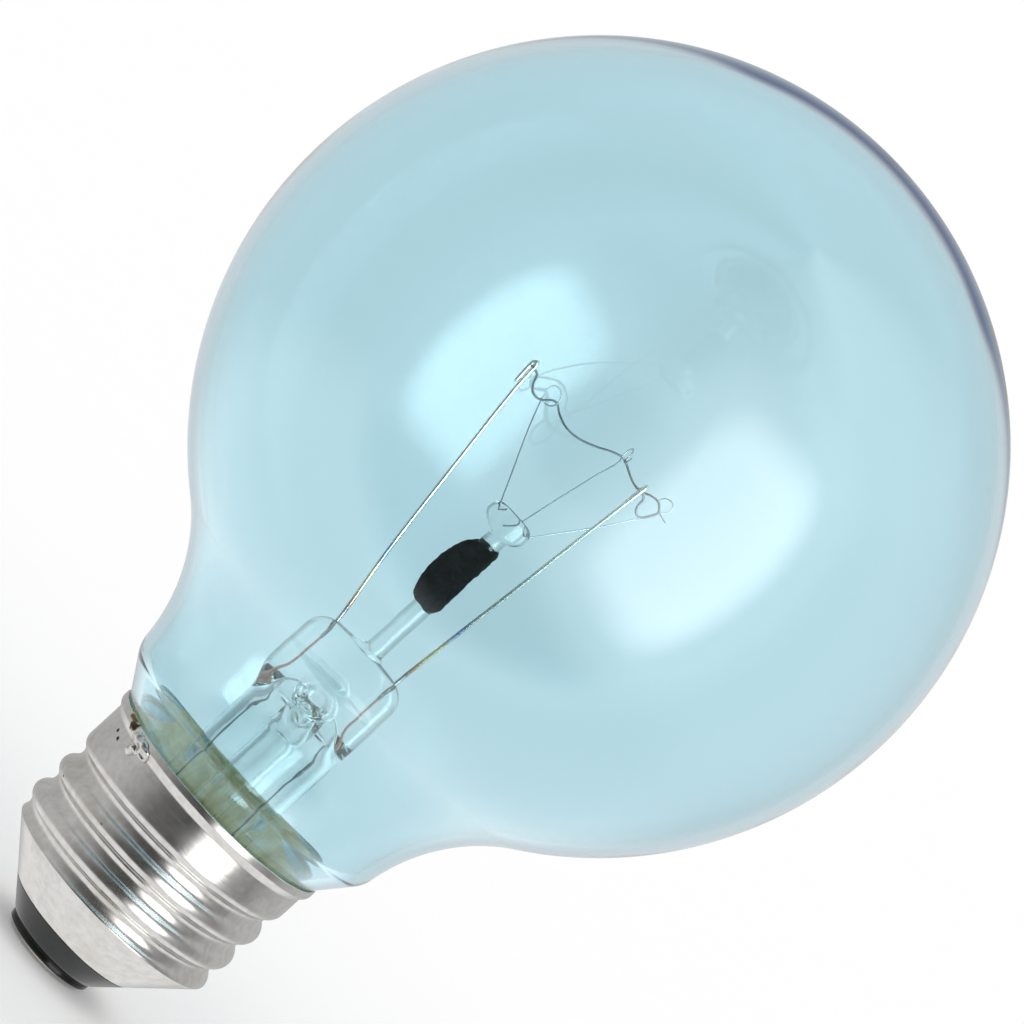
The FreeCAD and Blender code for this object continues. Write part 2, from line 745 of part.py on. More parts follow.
# At each hook and eye the filament runs level for a short stretch, and sags in between
def make_filament(pegs):
    grip = cell("filament_grip").value
    pieces = 4
    points = [pegs[0] + level(pegs[0] - pegs[1]) * cell("filament_tail").value]
    for number, peg in enumerate(pegs):
        before = pegs[max(number - 1, 0)]
        after = pegs[min(number + 1, len(pegs) - 1)]
        along = level(after - before)
        if number > 0:
            points.append(peg - along * grip)
        if number < len(pegs) - 1:
            points.append(peg + along * grip)
            for step in range(1, pieces):
                share = step / pieces
                dip = 4 * share * (1 - share) * cell("sag").value
                points.append(peg + (after - peg) * share - V(0, 0, dip))
    points.append(pegs[-1] + level(pegs[-1] - pegs[-2]) * cell("filament_tail").value)
    return make_wire("filament", points, cell("coil_radius").value, cell("filament_bend").value)


def make_supports(pegs):
    items = []
    root_height = button_top.value - cell("support_bite").value
    for number, name in enumerate(("left", "middle", "right"), start=1):
        eye = pegs[number]
        root = V(eye.x, eye.y, 0).normalize() * cell("support_root").value + V(0, 0, root_height)
        along = level(pegs[number + 1] - pegs[number - 1])
        items.append(support_wire(f"filament_support_{name}", root, eye, along))
    return items


# Wires sealed in the press, from the leads down to the wires in the stem
def seal_foot(side):
    beside_wall = cell("seal_wire") + cell("wire_clearance")
    return V(side * (stem_bore - beside_wall).value, 0, stem_ceiling.value - cell("lead_bite").value)


def make_seals():
    items = []
    for name, side in (("left", -1), ("right", 1)):
        top = V(side * cell("lead_foot").value, 0, press_top.value - cell("lead_bite").value)
        middle = V(top.x, 0, press_foot.value + cell("lead_bite").value)
        foot = seal_foot(side)
        above = V(foot.x, 0, stem_ceiling.value)
        items.append(make_wire(f"seal_wire_{name}", [top, middle, above, foot],
                               cell("seal_wire").value, 2 * cell("wire_bend").value))
    return items


# A wire to the base starts in a bead of weld round the foot of its seal wire
def weld_on(name, run, seal, place):
    bead = doc.addObject("Part::Sphere", f"{name}_bead")
    bead.setExpression("Radius", cell("weld_bead").formula)
    bead.Placement.Base = place
    return cut(name, fuse(f"{name}_welded", (run, bead)), seal)


# The wire to the rim passes under the end of the neck and up beside it to a hole in the skirt
def make_rim_wire(seal):
    radius = cell("outer_wire").value
    clear = cell("wire_clearance").value
    bend = cell("wire_bend").value
    way = cell("rim_wire_angle").value
    start = seal_foot(-1)
    under = neck_end.value - radius - 2 * clear - bend
    beside = neck_radius.value + clear + radius
    exit_height = rim_wire_exit.value
    points = [
        start,
        V(start.x, 0, neck_end.value + 2 * bend),
        polar(cell("stem_radius").value, (180 + way) / 2, under),
        polar(beside - 1.5 * bend, way, under),
        polar(beside, way, under + 1.5 * bend),
        polar(beside, way, exit_height - 2 * bend),
        polar(beside + bend, way, exit_height),
        polar(cell("crest_radius").value + cell("rim_wire_stub").value, way, exit_height),
    ]
    run = make_wire("outer_lead_rim_run", points, radius, bend)
    return weld_on("outer_lead_rim", run, seal, start)


# The wire to the centre contact bends past the exhaust tip and runs down through the eyelet
def make_centre_wire(seal):
    bend = cell("wire_bend").value
    start = seal_foot(1)
    beside_tip = 0.6 * start.x
    points = [
        start,
        V(start.x, 0, neck_end.value + bend),
        V(beside_tip, 0, exhaust_end.value - 1.5 * bend),
        V(0, 0, insulator_top.value + bend / 2),
        V(0, 0, flange_bottom.value),
    ]
    run = make_wire("outer_lead_centre_run", points, cell("outer_wire").value, 2 * bend)
    return weld_on("outer_lead_centre", run, seal, start)


# Screw shell: one thin sheet, drawn and rolled. Its outside is a height-and-angle formula: the cone,
# the rolled thread of equal round crests and roots that runs out into the skirt, and the flared rim.
def smooth_step(value):
    value = min(max(value, 0.0), 1.0)
    return value * value * (3 - 2 * value)


def thread_depth(height, angle):
    pitch = cell("thread_pitch").value
    depth = cell("thread_depth").value
    quarter = pitch / 4
    bend = (quarter ** 2 + (depth / 2) ** 2) / depth
    turns = (height - cone_top.value - cell("first_crest").value) / pitch - angle / (2 * math.pi)
    from_root = (turns - math.floor(turns) - 0.5) * pitch
    root_turn = math.floor(turns) + angle / (2 * math.pi)
    if abs(from_root) < quarter:
        sunk = depth - bend + math.sqrt(bend ** 2 - from_root ** 2)
    else:
        from_crest = 2 * quarter - abs(from_root)
        sunk = bend - math.sqrt(bend ** 2 - from_crest ** 2)
    return sunk * (1 - smooth_step((root_turn - cell("thread_turns").value)
                                   / cell("runout_turns").value))


def outside_radius(height, angle):
    skirt = cell("crest_radius").value - thread_depth(height, angle)
    cone = root_radius.value + (height - cone_top.value) * cone_slope.value
    blend = cell("shell_sheet").value / 2
    gap = skirt - cone
    radius = (skirt + cone - math.sqrt(gap ** 2 + blend ** 2)) / 2
    lip = (height - lip_foot.value) / (lip_full - lip_foot).value
    return radius + cell("lip_flare").value * smooth_step(lip)


def inside_radius(height, angle):
    step = 0.05
    low = max(height - step, cone_bottom.value)
    high = min(height + step, rim.value)
    slope = (outside_radius(high, angle) - outside_radius(low, angle)) / (high - low)
    return outside_radius(height, angle) - cell("shell_sheet").value * math.sqrt(1 + slope ** 2)


def rolled_surface(radius_at):
    columns = 24
    rows_a_turn = 12
    rows = math.ceil(shell_height.value / cell("thread_pitch").value * rows_a_turn)
    grid = []
    for row in range(rows + 1):
        height = cone_bottom.value + shell_height.value * row / rows
        points = []
        for column in range(columns + 1):
            angle = 2 * math.pi * (column % columns) / columns
            points.append(V(radius_at(height, angle) * math.cos(angle),
                            radius_at(height, angle) * math.sin(angle), height))
        grid.append(points)
    surface = Part.BSplineSurface()
    surface.interpolate(grid)
    return surface.toShape()


def end_ring(outer_face, inner_face, height):
    discs = []
    for face in (outer_face, inner_face):
        edges = [edge for edge in face.Edges
                 if abs(edge.BoundBox.ZMin - height) < 0.01 and abs(edge.BoundBox.ZMax - height) < 0.01]
        discs.append(Part.Face(Part.Wire(edges)))
    return discs[0].cut(discs[1]).Faces[0]


def make_shell():
    outer_face = rolled_surface(outside_radius)
    inner_face = rolled_surface(inside_radius)
    rings = [end_ring(outer_face, inner_face, height) for height in (cone_bottom.value, rim.value)]
    skin = Part.makeShell([outer_face, inner_face] + rings)
    skin.sewShape()
    solid = Part.makeSolid(skin)
    solid.fix(Part.Precision.confusion(), Part.Precision.confusion(), Part.Precision.confusion())
    if solid.Volume < 0:
        solid.reverse()
    hole = doc.addObject("Part::Cylinder", "rim_wire_passage")
    hole.setExpression("Radius", cell("rim_wire_hole").formula)
    hole.setExpression("Height", (cell("crest_radius") + cell("lip_flare")).formula)
    hole.Placement.Rotation = FreeCAD.Rotation(V(0, 0, 1), polar(1, cell("rim_wire_angle").value, 0))
    hole.setExpression(".Placement.Base.z", rim_wire_exit.formula)
    return cut("screw_shell", feature("screw_sheet", solid), hole)


# Solder on the rim: a flattened drop over the end of the rim wire, outside the skirt and the lip
def make_rim_solder(wire_end):
    way = cell("rim_wire_angle").value
    drop = doc.addObject("Part::Ellipsoid", "rim_solder_drop")
    drop.setExpression("Radius1", cell("solder_drop").formula)
    drop.setExpression("Radius2", cell("solder_stand").formula)
    drop.setExpression("Radius3", cell("solder_width").formula)
    drop.Placement = FreeCAD.Placement(polar(cell("crest_radius").value, way, rim_wire_exit.value),
                                       FreeCAD.Rotation(V(0, 0, 1), way))
    skirt = cell("crest_radius") + cell("seat_gap")
    lip = skirt + cell("lip_flare")
    most_of_flare = 0.75
    limit = turned_body("rim_solder_limit", (
        (None, cone_top),
        (skirt, cone_top),
        (skirt, lip_foot),
        (lip, lip_foot + (lip_full - lip_foot) * most_of_flare),
        (lip, rim + cell("solder_drop")),
        (None, rim + cell("solder_drop"))))
    outside = cut("rim_solder_outside", drop, limit)
    return cut("rim_solder", outside, wire_end)


leads, held = make_leads()
pegs = [held[0], eyes["left"], eyes["middle"], eyes["right"], held[1]]
supports = make_supports(pegs)
seals = make_seals()
outer_rim = make_rim_wire(seals[0])
outer_centre = make_centre_wire(seals[1])
shell = make_shell()
envelope = make_envelope()
cane = make_cane(supports)
insulator = make_insulator()
contact = make_contact()
subparts = [
    envelope,
    make_stem(leads + seals),
    make_exhaust(),
    cane,
    make_getter(cane),
    *leads,
    *seals,
    outer_rim,
    outer_centre,
    *supports,
    make_filament(pegs),
    shell,
    insulator,
    contact,
    make_centre_solder(outer_centre),
    make_rim_solder(outer_rim),
    make_cement(envelope, outer_rim),
]
doc.recompute()

for item in doc.Objects:
    if "Invalid" in item.State or "Error" in item.State:
        raise RuntimeError(f"{item.Label} failed: {item.State}")
for item in subparts:
    if item.Shape.isNull() or not item.Shape.isValid():
        raise RuntimeError(f"{item.Label} has no valid shape")

os.makedirs("parts", exist_ok=True)
for item in subparts:
    item.Shape.exportStep(f"parts/{item.Label}.step")
    print(item.Label, "solids", len(item.Shape.Solids), "volume", round(item.Shape.Volume, 2))
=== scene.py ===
import math
from types import SimpleNamespace

import bmesh
import bpy
from mathutils import Matrix, Vector, noise


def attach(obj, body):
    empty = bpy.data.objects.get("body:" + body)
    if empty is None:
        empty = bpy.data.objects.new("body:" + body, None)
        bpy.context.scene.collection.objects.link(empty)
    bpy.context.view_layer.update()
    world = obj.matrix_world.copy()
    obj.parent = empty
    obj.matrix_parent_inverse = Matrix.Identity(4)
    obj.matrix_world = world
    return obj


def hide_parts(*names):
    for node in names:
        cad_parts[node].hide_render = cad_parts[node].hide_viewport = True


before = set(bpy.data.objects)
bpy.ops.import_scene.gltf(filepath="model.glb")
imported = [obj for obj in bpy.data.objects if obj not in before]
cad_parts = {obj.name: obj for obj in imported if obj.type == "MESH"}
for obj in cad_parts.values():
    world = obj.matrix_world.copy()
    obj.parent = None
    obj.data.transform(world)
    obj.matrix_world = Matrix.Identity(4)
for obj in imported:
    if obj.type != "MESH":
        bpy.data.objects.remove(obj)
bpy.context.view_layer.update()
mm = 0.001


# small helpers for sizes and shapes

def mix(a, b, share):
    return a + (b - a) * share


def stepsBetween(low, high, count, first=1):
    return [mix(low, high, step / count) for step in range(first, count + 1)]


def smoothStep(value):
    value = min(max(value, 0.0), 1.0)
    return value * value * (3 - 2 * value)


def polar(radius, degrees, height):
    turn = math.radians(degrees)
    return Vector((radius * math.cos(turn), radius * math.sin(turn), height))


# sizes of the bulb in millimetres, as the construction has them
bulb = {
    "contactFace": 0.2, "contactSheet": 0.25, "contactRadius": 3.6, "contactBore": 0.85, "domeRadius": 2.1,
    "footBottom": 0.45, "footTop": 1.1, "footRadius": 5.35, "coneBottom": 4.1, "coneEdge": 8.1,
    "coneTop": 8.5, "crest": 13.03, "threadDepth": 0.87, "pitch": 3.629, "firstCrest": 0.85, "turns": 2.1,
    "runout": 0.3, "sheet": 0.25, "skirt": 0.81, "lip": 1.7, "flare": 0.52, "lipStraight": 0.4,
    "globe": 40.0, "globeLift": 10.2, "wall": 1.2, "blend": 19.7, "shoulderStand": 3.42,
    "shoulderRise": 5.57, "shoulderRound": 3.5, "glassGap": 0.3, "neckGap": 1.78, "neckLow": 1.0,
    "neckDepth": 10.2, "cementHeight": 5.2,
}
size = SimpleNamespace(**bulb)
size.root = size.crest - size.threadDepth
size.coneSlope = (size.root - size.coneEdge) / (size.coneTop - size.coneBottom)
size.lipFoot = size.coneTop + size.firstCrest + size.pitch * (size.turns + size.runout + 1) + size.skirt
size.rim = size.lipFoot + size.lip
size.centre = size.rim + size.globeLift + size.globe
print("sizes ready, rim at", round(size.rim, 2), "mm")


# camera at the photograph's angle: distances in mm, its aim along the bulb and across it
camera = {"distance": 400.0, "tilt": 4.6, "roll": 42.45, "along": 10.477, "across": -1.0155,
          "lens": 144.0, "sensor": 36.0, "nearest": 0.01, "furthest": 50}


def makeCamera():
    tilt, roll = math.radians(camera["tilt"]), math.radians(camera["roll"])
    view = Vector((0, math.cos(tilt), -math.sin(tilt)))
    down = Vector((0, -math.sin(tilt), -math.cos(tilt)))  # from the globe to the base
    side = Vector((1, 0, 0))
    place = Vector((0, 0, size.centre)) - view * camera["distance"]
    place += down * camera["along"] + side * camera["across"]
    right = -down * math.cos(roll) + side * math.sin(roll)
    up = -down * math.sin(roll) - side * math.cos(roll)
    data = bpy.data.cameras.new("photoCamera")
    data.lens = camera["lens"]
    data.sensor_width = camera["sensor"]
    data.clip_start = camera["nearest"]
    data.clip_end = camera["furthest"]
    item = bpy.data.objects.new("photoCamera", data)
    turn = Matrix((right, up, -view)).transposed().to_4x4()
    item.matrix_world = Matrix.Translation(place * mm) @ turn
    bpy.context.scene.collection.objects.link(item)
    bpy.context.scene.camera = item


makeCamera()
print("camera set")


# materials

# fills a node's sockets by name or number, with a value or from another node
def plug(tree, item, sockets):
    for key, value in sockets.items():
        if isinstance(value, bpy.types.NodeSocket):
            tree.links.new(value, item.inputs[key])
        else:
            item.inputs[key].default_value = value


def addNode(tree, kind, sockets=None, **settings):
    item = tree.nodes.new("ShaderNode" + kind)
    for key, value in settings.items():
        setattr(item, key, value)
    plug(tree, item, sockets or {})
    return item


def newMaterial(name):
    item = bpy.data.materials.new(name)
    item.use_nodes = True
    tree = item.node_tree
    return item, tree, tree.nodes["Principled BSDF"]


def objectPlace(tree):
    return addNode(tree, "TexCoord").outputs["Object"]


def speckle(tree, grain, detail=5.0, stretch=(1, 1, 1), roughness=0.6):
    scaled = addNode(tree, "Mapping", {"Vector": objectPlace(tree), "Scale": stretch})
    spots = addNode(tree, "TexNoise", {"Vector": scaled.outputs["Vector"], "Scale": grain, "Detail": detail,
                                       "Roughness": roughness})
    return spots.outputs["Fac"]


def colourRamp(tree, value, stops):
    ramp = addNode(tree, "ValToRGB", {"Fac": value})
    row = ramp.color_ramp.elements
    for number, (position, colour) in enumerate(stops):
        stop = row[number] if number < 2 else row.new(position)
        stop.position = position
        stop.color = (*colour, 1)
    return ramp.outputs["Color"]


def spread(tree, value, fromLow, fromHigh, toLow=0, toHigh=1, kind="LINEAR"):
    item = addNode(tree, "MapRange", interpolation_type=kind)
    plug(tree, item, {"Value": value, "From Min": fromLow, "From Max": fromHigh, "To Min": toLow,
                      "To Max": toHigh})
    return item.outputs["Result"]


def ease(tree, value, fromLow, fromHigh, toLow=0, toHigh=1):
    return spread(tree, value, fromLow, fromHigh, toLow, toHigh, "SMOOTHSTEP")


def blend(tree, share, first, second):
    item = addNode(tree, "Mix", data_type="RGBA")
    for key, value in (("Factor", share), ("A", first), ("B", second)):
        plug(tree, item, {key: (*value, 1) if isinstance(value, tuple) else value})
    return item.outputs["Result"]


def bumpFrom(tree, height, strength, distance):
    bump = addNode(tree, "Bump", {"Height": height, "Strength": strength, "Distance": distance})
    return bump.outputs["Normal"]


# skin tints what passes the surface, tint and density what passes the wall
glassLooks = {
    "globeGlass": {"skin": (0.733, 0.87, 0.898), "tint": (0.0, 0.5, 0.7), "density": 90.0, "ripple": 0.03,
                   "rippleSize": 45.0},
    "mountGlass": {"skin": (1.0, 1.0, 1.0), "tint": (0.25, 0.75, 0.6), "density": 22.0, "ripple": 0.05,
                   "rippleSize": 260.0},
}


def glassMaterial(name, skin, tint, density, ripple, rippleSize):
    item, tree, shader = newMaterial(name)
    waves = speckle(tree, rippleSize, 2.0, roughness=0.5)
    plug(tree, shader, {"Base Color": (*skin, 1), "Transmission Weight": 1.0, "IOR": 1.5, "Roughness": 0.0,
                        "Normal": bumpFrom(tree, waves, ripple, 0.001)})
    soak = addNode(tree, "VolumeAbsorption", {"Color": (*tint, 1), "Density": density})
    plug(tree, tree.nodes["Material Output"], {"Volume": soak.outputs["Volume"]})
    return item


metalLooks = {
    "wireMetal": {"light": (0.25, 0.27, 0.28), "dark": (0.16, 0.17, 0.18), "rough": (0.35, 0.5),
                  "grain": 4000.0, "bumpDepth": 0.1},
    "supportMetal": {"light": (0.46, 0.49, 0.50), "dark": (0.30, 0.33, 0.34), "rough": (0.3, 0.45),
                     "grain": 4000.0, "bumpDepth": 0.1},
    "copperWire": {"light": (0.85, 0.46, 0.36), "dark": (0.60, 0.26, 0.18), "rough": (0.3, 0.45),
                   "grain": 3000.0, "bumpDepth": 0.1},
    "outerWireMetal": {"light": (0.40, 0.42, 0.44), "dark": (0.22, 0.24, 0.26), "rough": (0.3, 0.45),
                       "grain": 2500.0, "bumpDepth": 0.3},
    "solderMetal": {"light": (0.80, 0.80, 0.78), "dark": (0.52, 0.51, 0.49), "rough": (0.1, 0.3),
                    "grain": 1100.0, "bumpDepth": 0.3},
    "contactMetal": {"light": (0.72, 0.62, 0.44), "dark": (0.50, 0.42, 0.30), "rough": (0.25, 0.45),
                     "grain": 1200.0, "bumpDepth": 0.15},
}


def metalMaterial(name, light, dark, rough, grain, bumpDepth):
    item, tree, shader = newMaterial(name)
    spots = speckle(tree, grain, 6.0)
    plug(tree, shader, {"Metallic": 1.0, "Base Color": colourRamp(tree, spots, ((0.3, dark), (0.62, light))),
                        "Roughness": spread(tree, spots, 0.3, 0.7, *rough),
                        "Normal": bumpFrom(tree, spots, bumpDepth, 0.0002)})
    return item


# nickel leads: heat colours from the sealing, along the wire above the press, height in mm and colour
leadLook = {
    "rough": (0.2, 0.34), "grain": 2500.0, "bumpDepth": 0.15, "streak": (0.3, 0.29, 0.27),
    "heat": ((42.0, (0.36, 0.37, 0.36)), (44.8, (0.40, 0.38, 0.37)), (45.3, (0.16, 0.13, 0.13)),
             (46.4, (0.50, 0.27, 0.15)), (47.8, (0.66, 0.60, 0.28)), (50.0, (0.74, 0.66, 0.36)),
             (51.4, (0.40, 0.42, 0.58)), (52.4, (0.36, 0.42, 0.66)), (54.0, (0.72, 0.70, 0.64)),
             (60.0, (0.80, 0.78, 0.70))),
}


def makeLeadMetal():
    item, tree, shader = newMaterial("leadMetal")
    split = addNode(tree, "SeparateXYZ", {"Vector": objectPlace(tree)})
    low, high = leadLook["heat"][0][0], leadLook["heat"][-1][0]
    along = spread(tree, split.outputs["Z"], low * mm, high * mm)
    stops = tuple(((height - low) / (high - low), colour) for height, colour in leadLook["heat"])
    spots = speckle(tree, leadLook["grain"])
    streak = spread(tree, spots, 0.35, 0.65, 0.82, 1.0)
    plug(tree, shader, {"Metallic": 1.0,
                        "Base Color": blend(tree, streak, leadLook["streak"], colourRamp(tree, along, stops)),
                        "Roughness": spread(tree, spots, 0.3, 0.7, *leadLook["rough"]),
                        "Normal": bumpFrom(tree, spots, leadLook["bumpDepth"], 0.0001)})
    return item


# screw shell: nickel plate with faint stains, flux burnt on beside the solder, punch marks and nicks
# a mark is its angle round the axis, height, size along and across in mm, and colour
shellLook = {
    "light": (0.82, 0.81, 0.79), "dark": (0.70, 0.69, 0.66), "stain": (0.62, 0.58, 0.50),
    "rough": (0.14, 0.27), "grain": 900.0, "stainSize": 160.0, "bumpDepth": 0.10, "drawn": (1, 1, 14),
    "wobbleSize": 1400.0, "wobble": 0.6,
    "marks": ((219.3, 23.8, 0.95, 0.75, (0.05, 0.035, 0.02)), (215.5, 24.0, 1.1, 0.4, (0.20, 0.14, 0.08)),
              (210.7, 21.75, 0.28, 0.2, (0.03, 0.03, 0.03)), (215.6, 21.35, 0.26, 0.22, (0.03, 0.03, 0.03)),
              (207.0, 14.6, 0.2, 0.12, (0.05, 0.05, 0.05)), (245.0, 15.4, 0.12, 0.1, (0.06, 0.06, 0.06)),
              (182.0, 11.1, 0.9, 0.35, (0.04, 0.04, 0.04))),
}


def makeShellMetal():
    item, tree, shader = newMaterial("shellMetal")
    fine = speckle(tree, shellLook["grain"], 6.0)
    broad = speckle(tree, shellLook["stainSize"], 4.0)
    drawn = speckle(tree, shellLook["stainSize"], 3.0, shellLook["drawn"])
    colour = colourRamp(tree, fine, ((0.3, shellLook["dark"]), (0.6, shellLook["light"])))
    colour = blend(tree, ease(tree, broad, 0.52, 0.75, 0.0, 0.7), colour, shellLook["stain"])
    place = objectPlace(tree)
    wobble = shellLook["wobble"]
    ragged = spread(tree, speckle(tree, shellLook["wobbleSize"], 3.0), 0.2, 0.8, -wobble, wobble)
    for degrees, height, long, wide, tone in shellLook["marks"]:
        spot = polar(size.crest, degrees, height) * mm
        scale = (1 / (long * mm), 1 / (long * mm), 1 / (wide * mm))
        away = addNode(tree, "VectorMath", {0: place, 1: spot}, operation="SUBTRACT").outputs["Vector"]
        away = addNode(tree, "VectorMath", {0: away, 1: scale}, operation="MULTIPLY").outputs["Vector"]
        reach = addNode(tree, "VectorMath", {0: away}, operation="LENGTH").outputs["Value"]
        reach = addNode(tree, "Math", {0: reach, 1: ragged}, operation="ADD").outputs[0]
        colour = blend(tree, ease(tree, reach, 1.15, 0.65), colour, tone)
    plug(tree, shader, {"Metallic": 1.0, "Base Color": colour,
                        "Roughness": spread(tree, broad, 0.3, 0.7, *shellLook["rough"]),
                        "Normal": bumpFrom(tree, drawn, shellLook["bumpDepth"], 0.0003)})
    return item


# the glow is painted light, an emission in the surface's own colour that stands in for light reaching it;
# shine the surface's own gloss
plainLooks = {
    "insulatorBlack": {"tones": ((0.35, (0.006, 0.007, 0.007)), (0.65, (0.014, 0.016, 0.015))), "rough": 0.12,
                       "grain": 500.0, "bumpDepth": 0.06, "coat": 0.08, "shine": 0.3},
    "getterBlack": {"tones": ((0.35, (0.004, 0.005, 0.005)), (0.65, (0.014, 0.017, 0.015))), "rough": 0.85,
                    "grain": 900.0, "bumpDepth": 0.7, "shine": 0.15},
    # the cement's glow is painted light, brightening it in place of the light that reaches it through the
    # glass
    "cementOlive": {"tones": ((0.32, (0.50, 0.38, 0.10)), (0.45, (0.80, 0.64, 0.26)),
                              (0.55, (0.95, 0.82, 0.44)), (0.66, (0.95, 0.95, 0.85))), "rough": 0.9,
                    "grain": 230.0, "bumpDepth": 0.7, "paintedGlow": 0.32},
}


def plainMaterial(name, tones, rough, grain, bumpDepth, coat=0.0, paintedGlow=0.0, shine=0.5):
    item, tree, shader = newMaterial(name)
    spots = speckle(tree, grain)
    tone = colourRamp(tree, spots, tones)
    # painted light: the surface gives off its own colour as a glow
    if paintedGlow:
        plug(tree, shader, {"Emission Color": tone, "Emission Strength": paintedGlow})
        item.cycles.emission_sampling = "NONE"
    plug(tree, shader, {"Base Color": tone, "Roughness": rough, "Coat Weight": coat,
                        "Specular IOR Level": shine, "Normal": bumpFrom(tree, spots, bumpDepth, 0.0003)})
    return item


finish = {"leadMetal": makeLeadMetal(), "shellMetal": makeShellMetal()}
makers = ((glassMaterial, glassLooks), (metalMaterial, metalLooks), (plainMaterial, plainLooks))
for makeFinish, looks in makers:
    for name, look in looks.items():
        finish[name] = makeFinish(name, **look)
print("materials ready")


# meshes

def meshPiece(name, build, material, slot, *replaced):
    mesh = bpy.data.meshes.new(name)
    shape = bmesh.new()
    build(shape)
    bmesh.ops.recalc_face_normals(shape, faces=shape.faces)
    cavity = shape.faces.layers.int.get("cavity")  # faces round a closed hollow look the other way
    if cavity:
        bmesh.ops.reverse_faces(shape, faces=[face for face in shape.faces if face[cavity]])
    for face in shape.faces:
        face.smooth = True
    shape.to_mesh(mesh)
    shape.free()
    mesh.materials.append(finish[material])
    item = bpy.data.objects.new(name, mesh)
    bpy.context.scene.collection.objects.link(item)
    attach(item, "root")
    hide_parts(*replaced)
    print(name, len(mesh.polygons), "faces")


# joins rings of points in mm, one after the other; a ring of one point closes the end
def joinRings(shape, rings, closed=False):
    loops = [[shape.verts.new(place * mm) for place in ring] for ring in rings]
    pairs = list(zip(loops, loops[1:]))
    if closed:
        pairs.append((loops[-1], loops[0]))
    faces = []
    for first, second in pairs:
        count = max(len(first), len(second))
        if count == 1:
            continue
        for i in range(count):
            j = (i + 1) % count
            if len(first) == 1:
                corners = (first[0], second[i], second[j])
            elif len(second) == 1:
                corners = (first[i], first[j], second[0])
            else:
                corners = (first[i], first[j], second[j], second[i])
            faces.append(shape.faces.new(corners))
    return faces


def circle(radius, height, count):
    return [polar(radius, 360 * i / count, height) for i in range(count)]


# turns a closed list of (radius, height) about the axis
def spin(shape, profile, count):
    joinRings(shape, [circle(radius, height, count if radius > 1e-6 else 1) for radius, height in profile],
              closed=True)


# smooth line through places, closest to the way a wire bends
def smoothLine(places, steps):
    places = [Vector(place) for place in places]
    ends = [places[0] * 2 - places[1]] + places + [places[-1] * 2 - places[-2]]
    line = []
    for a, b, c, d in zip(ends, ends[1:], ends[2:], ends[3:]):
        t1 = math.sqrt((b - a).length)
        t2 = t1 + math.sqrt((c - b).length)
        t3 = t2 + math.sqrt((d - c).length)
        for step in range(steps):
            t = mix(t1, t2, step / steps)
            ab = a.lerp(b, t / t1)
            bc = b.lerp(c, (t - t1) / (t2 - t1))
            cd = c.lerp(d, (t - t2) / (t3 - t2))
            line.append(ab.lerp(bc, t / t2).lerp(bc.lerp(cd, (t - t1) / (t3 - t1)), (t - t1) / (t2 - t1)))
    line.append(places[-1])
    return line


# the same line in even steps
def evenLine(line, step):
    reach = [0.0]
    for first, second in zip(line, line[1:]):
        reach.append(reach[-1] + (second - first).length)
    count = max(int(reach[-1] / step), 2)
    even, spot = [], 0
    for number in range(count + 1):
        want = reach[-1] * number / count
        while spot < len(line) - 2 and reach[spot + 1] < want:
            spot += 1
        share = (want - reach[spot]) / (reach[spot + 1] - reach[spot])
        even.append(line[spot].lerp(line[spot + 1], share))
    return even


# two directions across the line at each place, carried along without twist
def crossFrames(line):
    frames = []
    side = None
    for number, place in enumerate(line):
        ahead = (line[min(number + 1, len(line) - 1)] - line[max(number - 1, 0)]).normalized()
        side = ahead.orthogonal() if side is None else side - ahead * side.dot(ahead)
        side.normalize()
        frames.append((place, side.copy(), ahead.cross(side)))
    return frames


# rounded end of a wire, as shares of its radius: how wide its last ring is, how far ring and tip stand out
wireEnd = {"ring": 0.7, "stand": 0.4, "tip": 0.55}


# a round wire along a line; radiusAt takes the place's number and may thicken it
def sweepWire(shape, line, radiusAt, sides):
    turns = [2 * math.pi * i / sides for i in range(sides)]
    rings = []
    for number, (place, side, other) in enumerate(crossFrames(line)):
        radius = radiusAt(number)
        rings.append([place + side * radius * math.cos(turn) + other * radius * math.sin(turn)
                      for turn in turns])
    ends = []
    for ring, place, near in ((rings[0], line[0], line[1]), (rings[-1], line[-1], line[-2])):
        out = (place - near).normalized() * (ring[0] - place).length
        last = [place + (spot - place) * wireEnd["ring"] + out * wireEnd["stand"] for spot in ring]
        ends += [last, [place + out * wireEnd["tip"]]]
    joinRings(shape, [ends[1], ends[0]] + rings + ends[2:])


def wirePiece(name, places, radius, material, slot, replaced, steps, sides):
    line = smoothLine(places, steps)
    meshPiece(name, lambda shape: sweepWire(shape, line, lambda number: radius, sides), material, slot,
              replaced)


def arcPoints(centre, radius, start, end, count):
    turns = [math.radians(degrees) for degrees in stepsBetween(start, end, count, 0)]
    return [(centre[0] + radius * math.cos(turn), centre[1] + radius * math.sin(turn)) for turn in turns]


def angleTo(centre, place):
    return math.degrees(math.atan2(place[1] - centre[1], place[0] - centre[0]))


# glass envelope: one blown wall

envelope = {"around": 224, "globeSteps": 110, "blendSteps": 36, "shoulderSteps": 18, "lowSteps": 8}


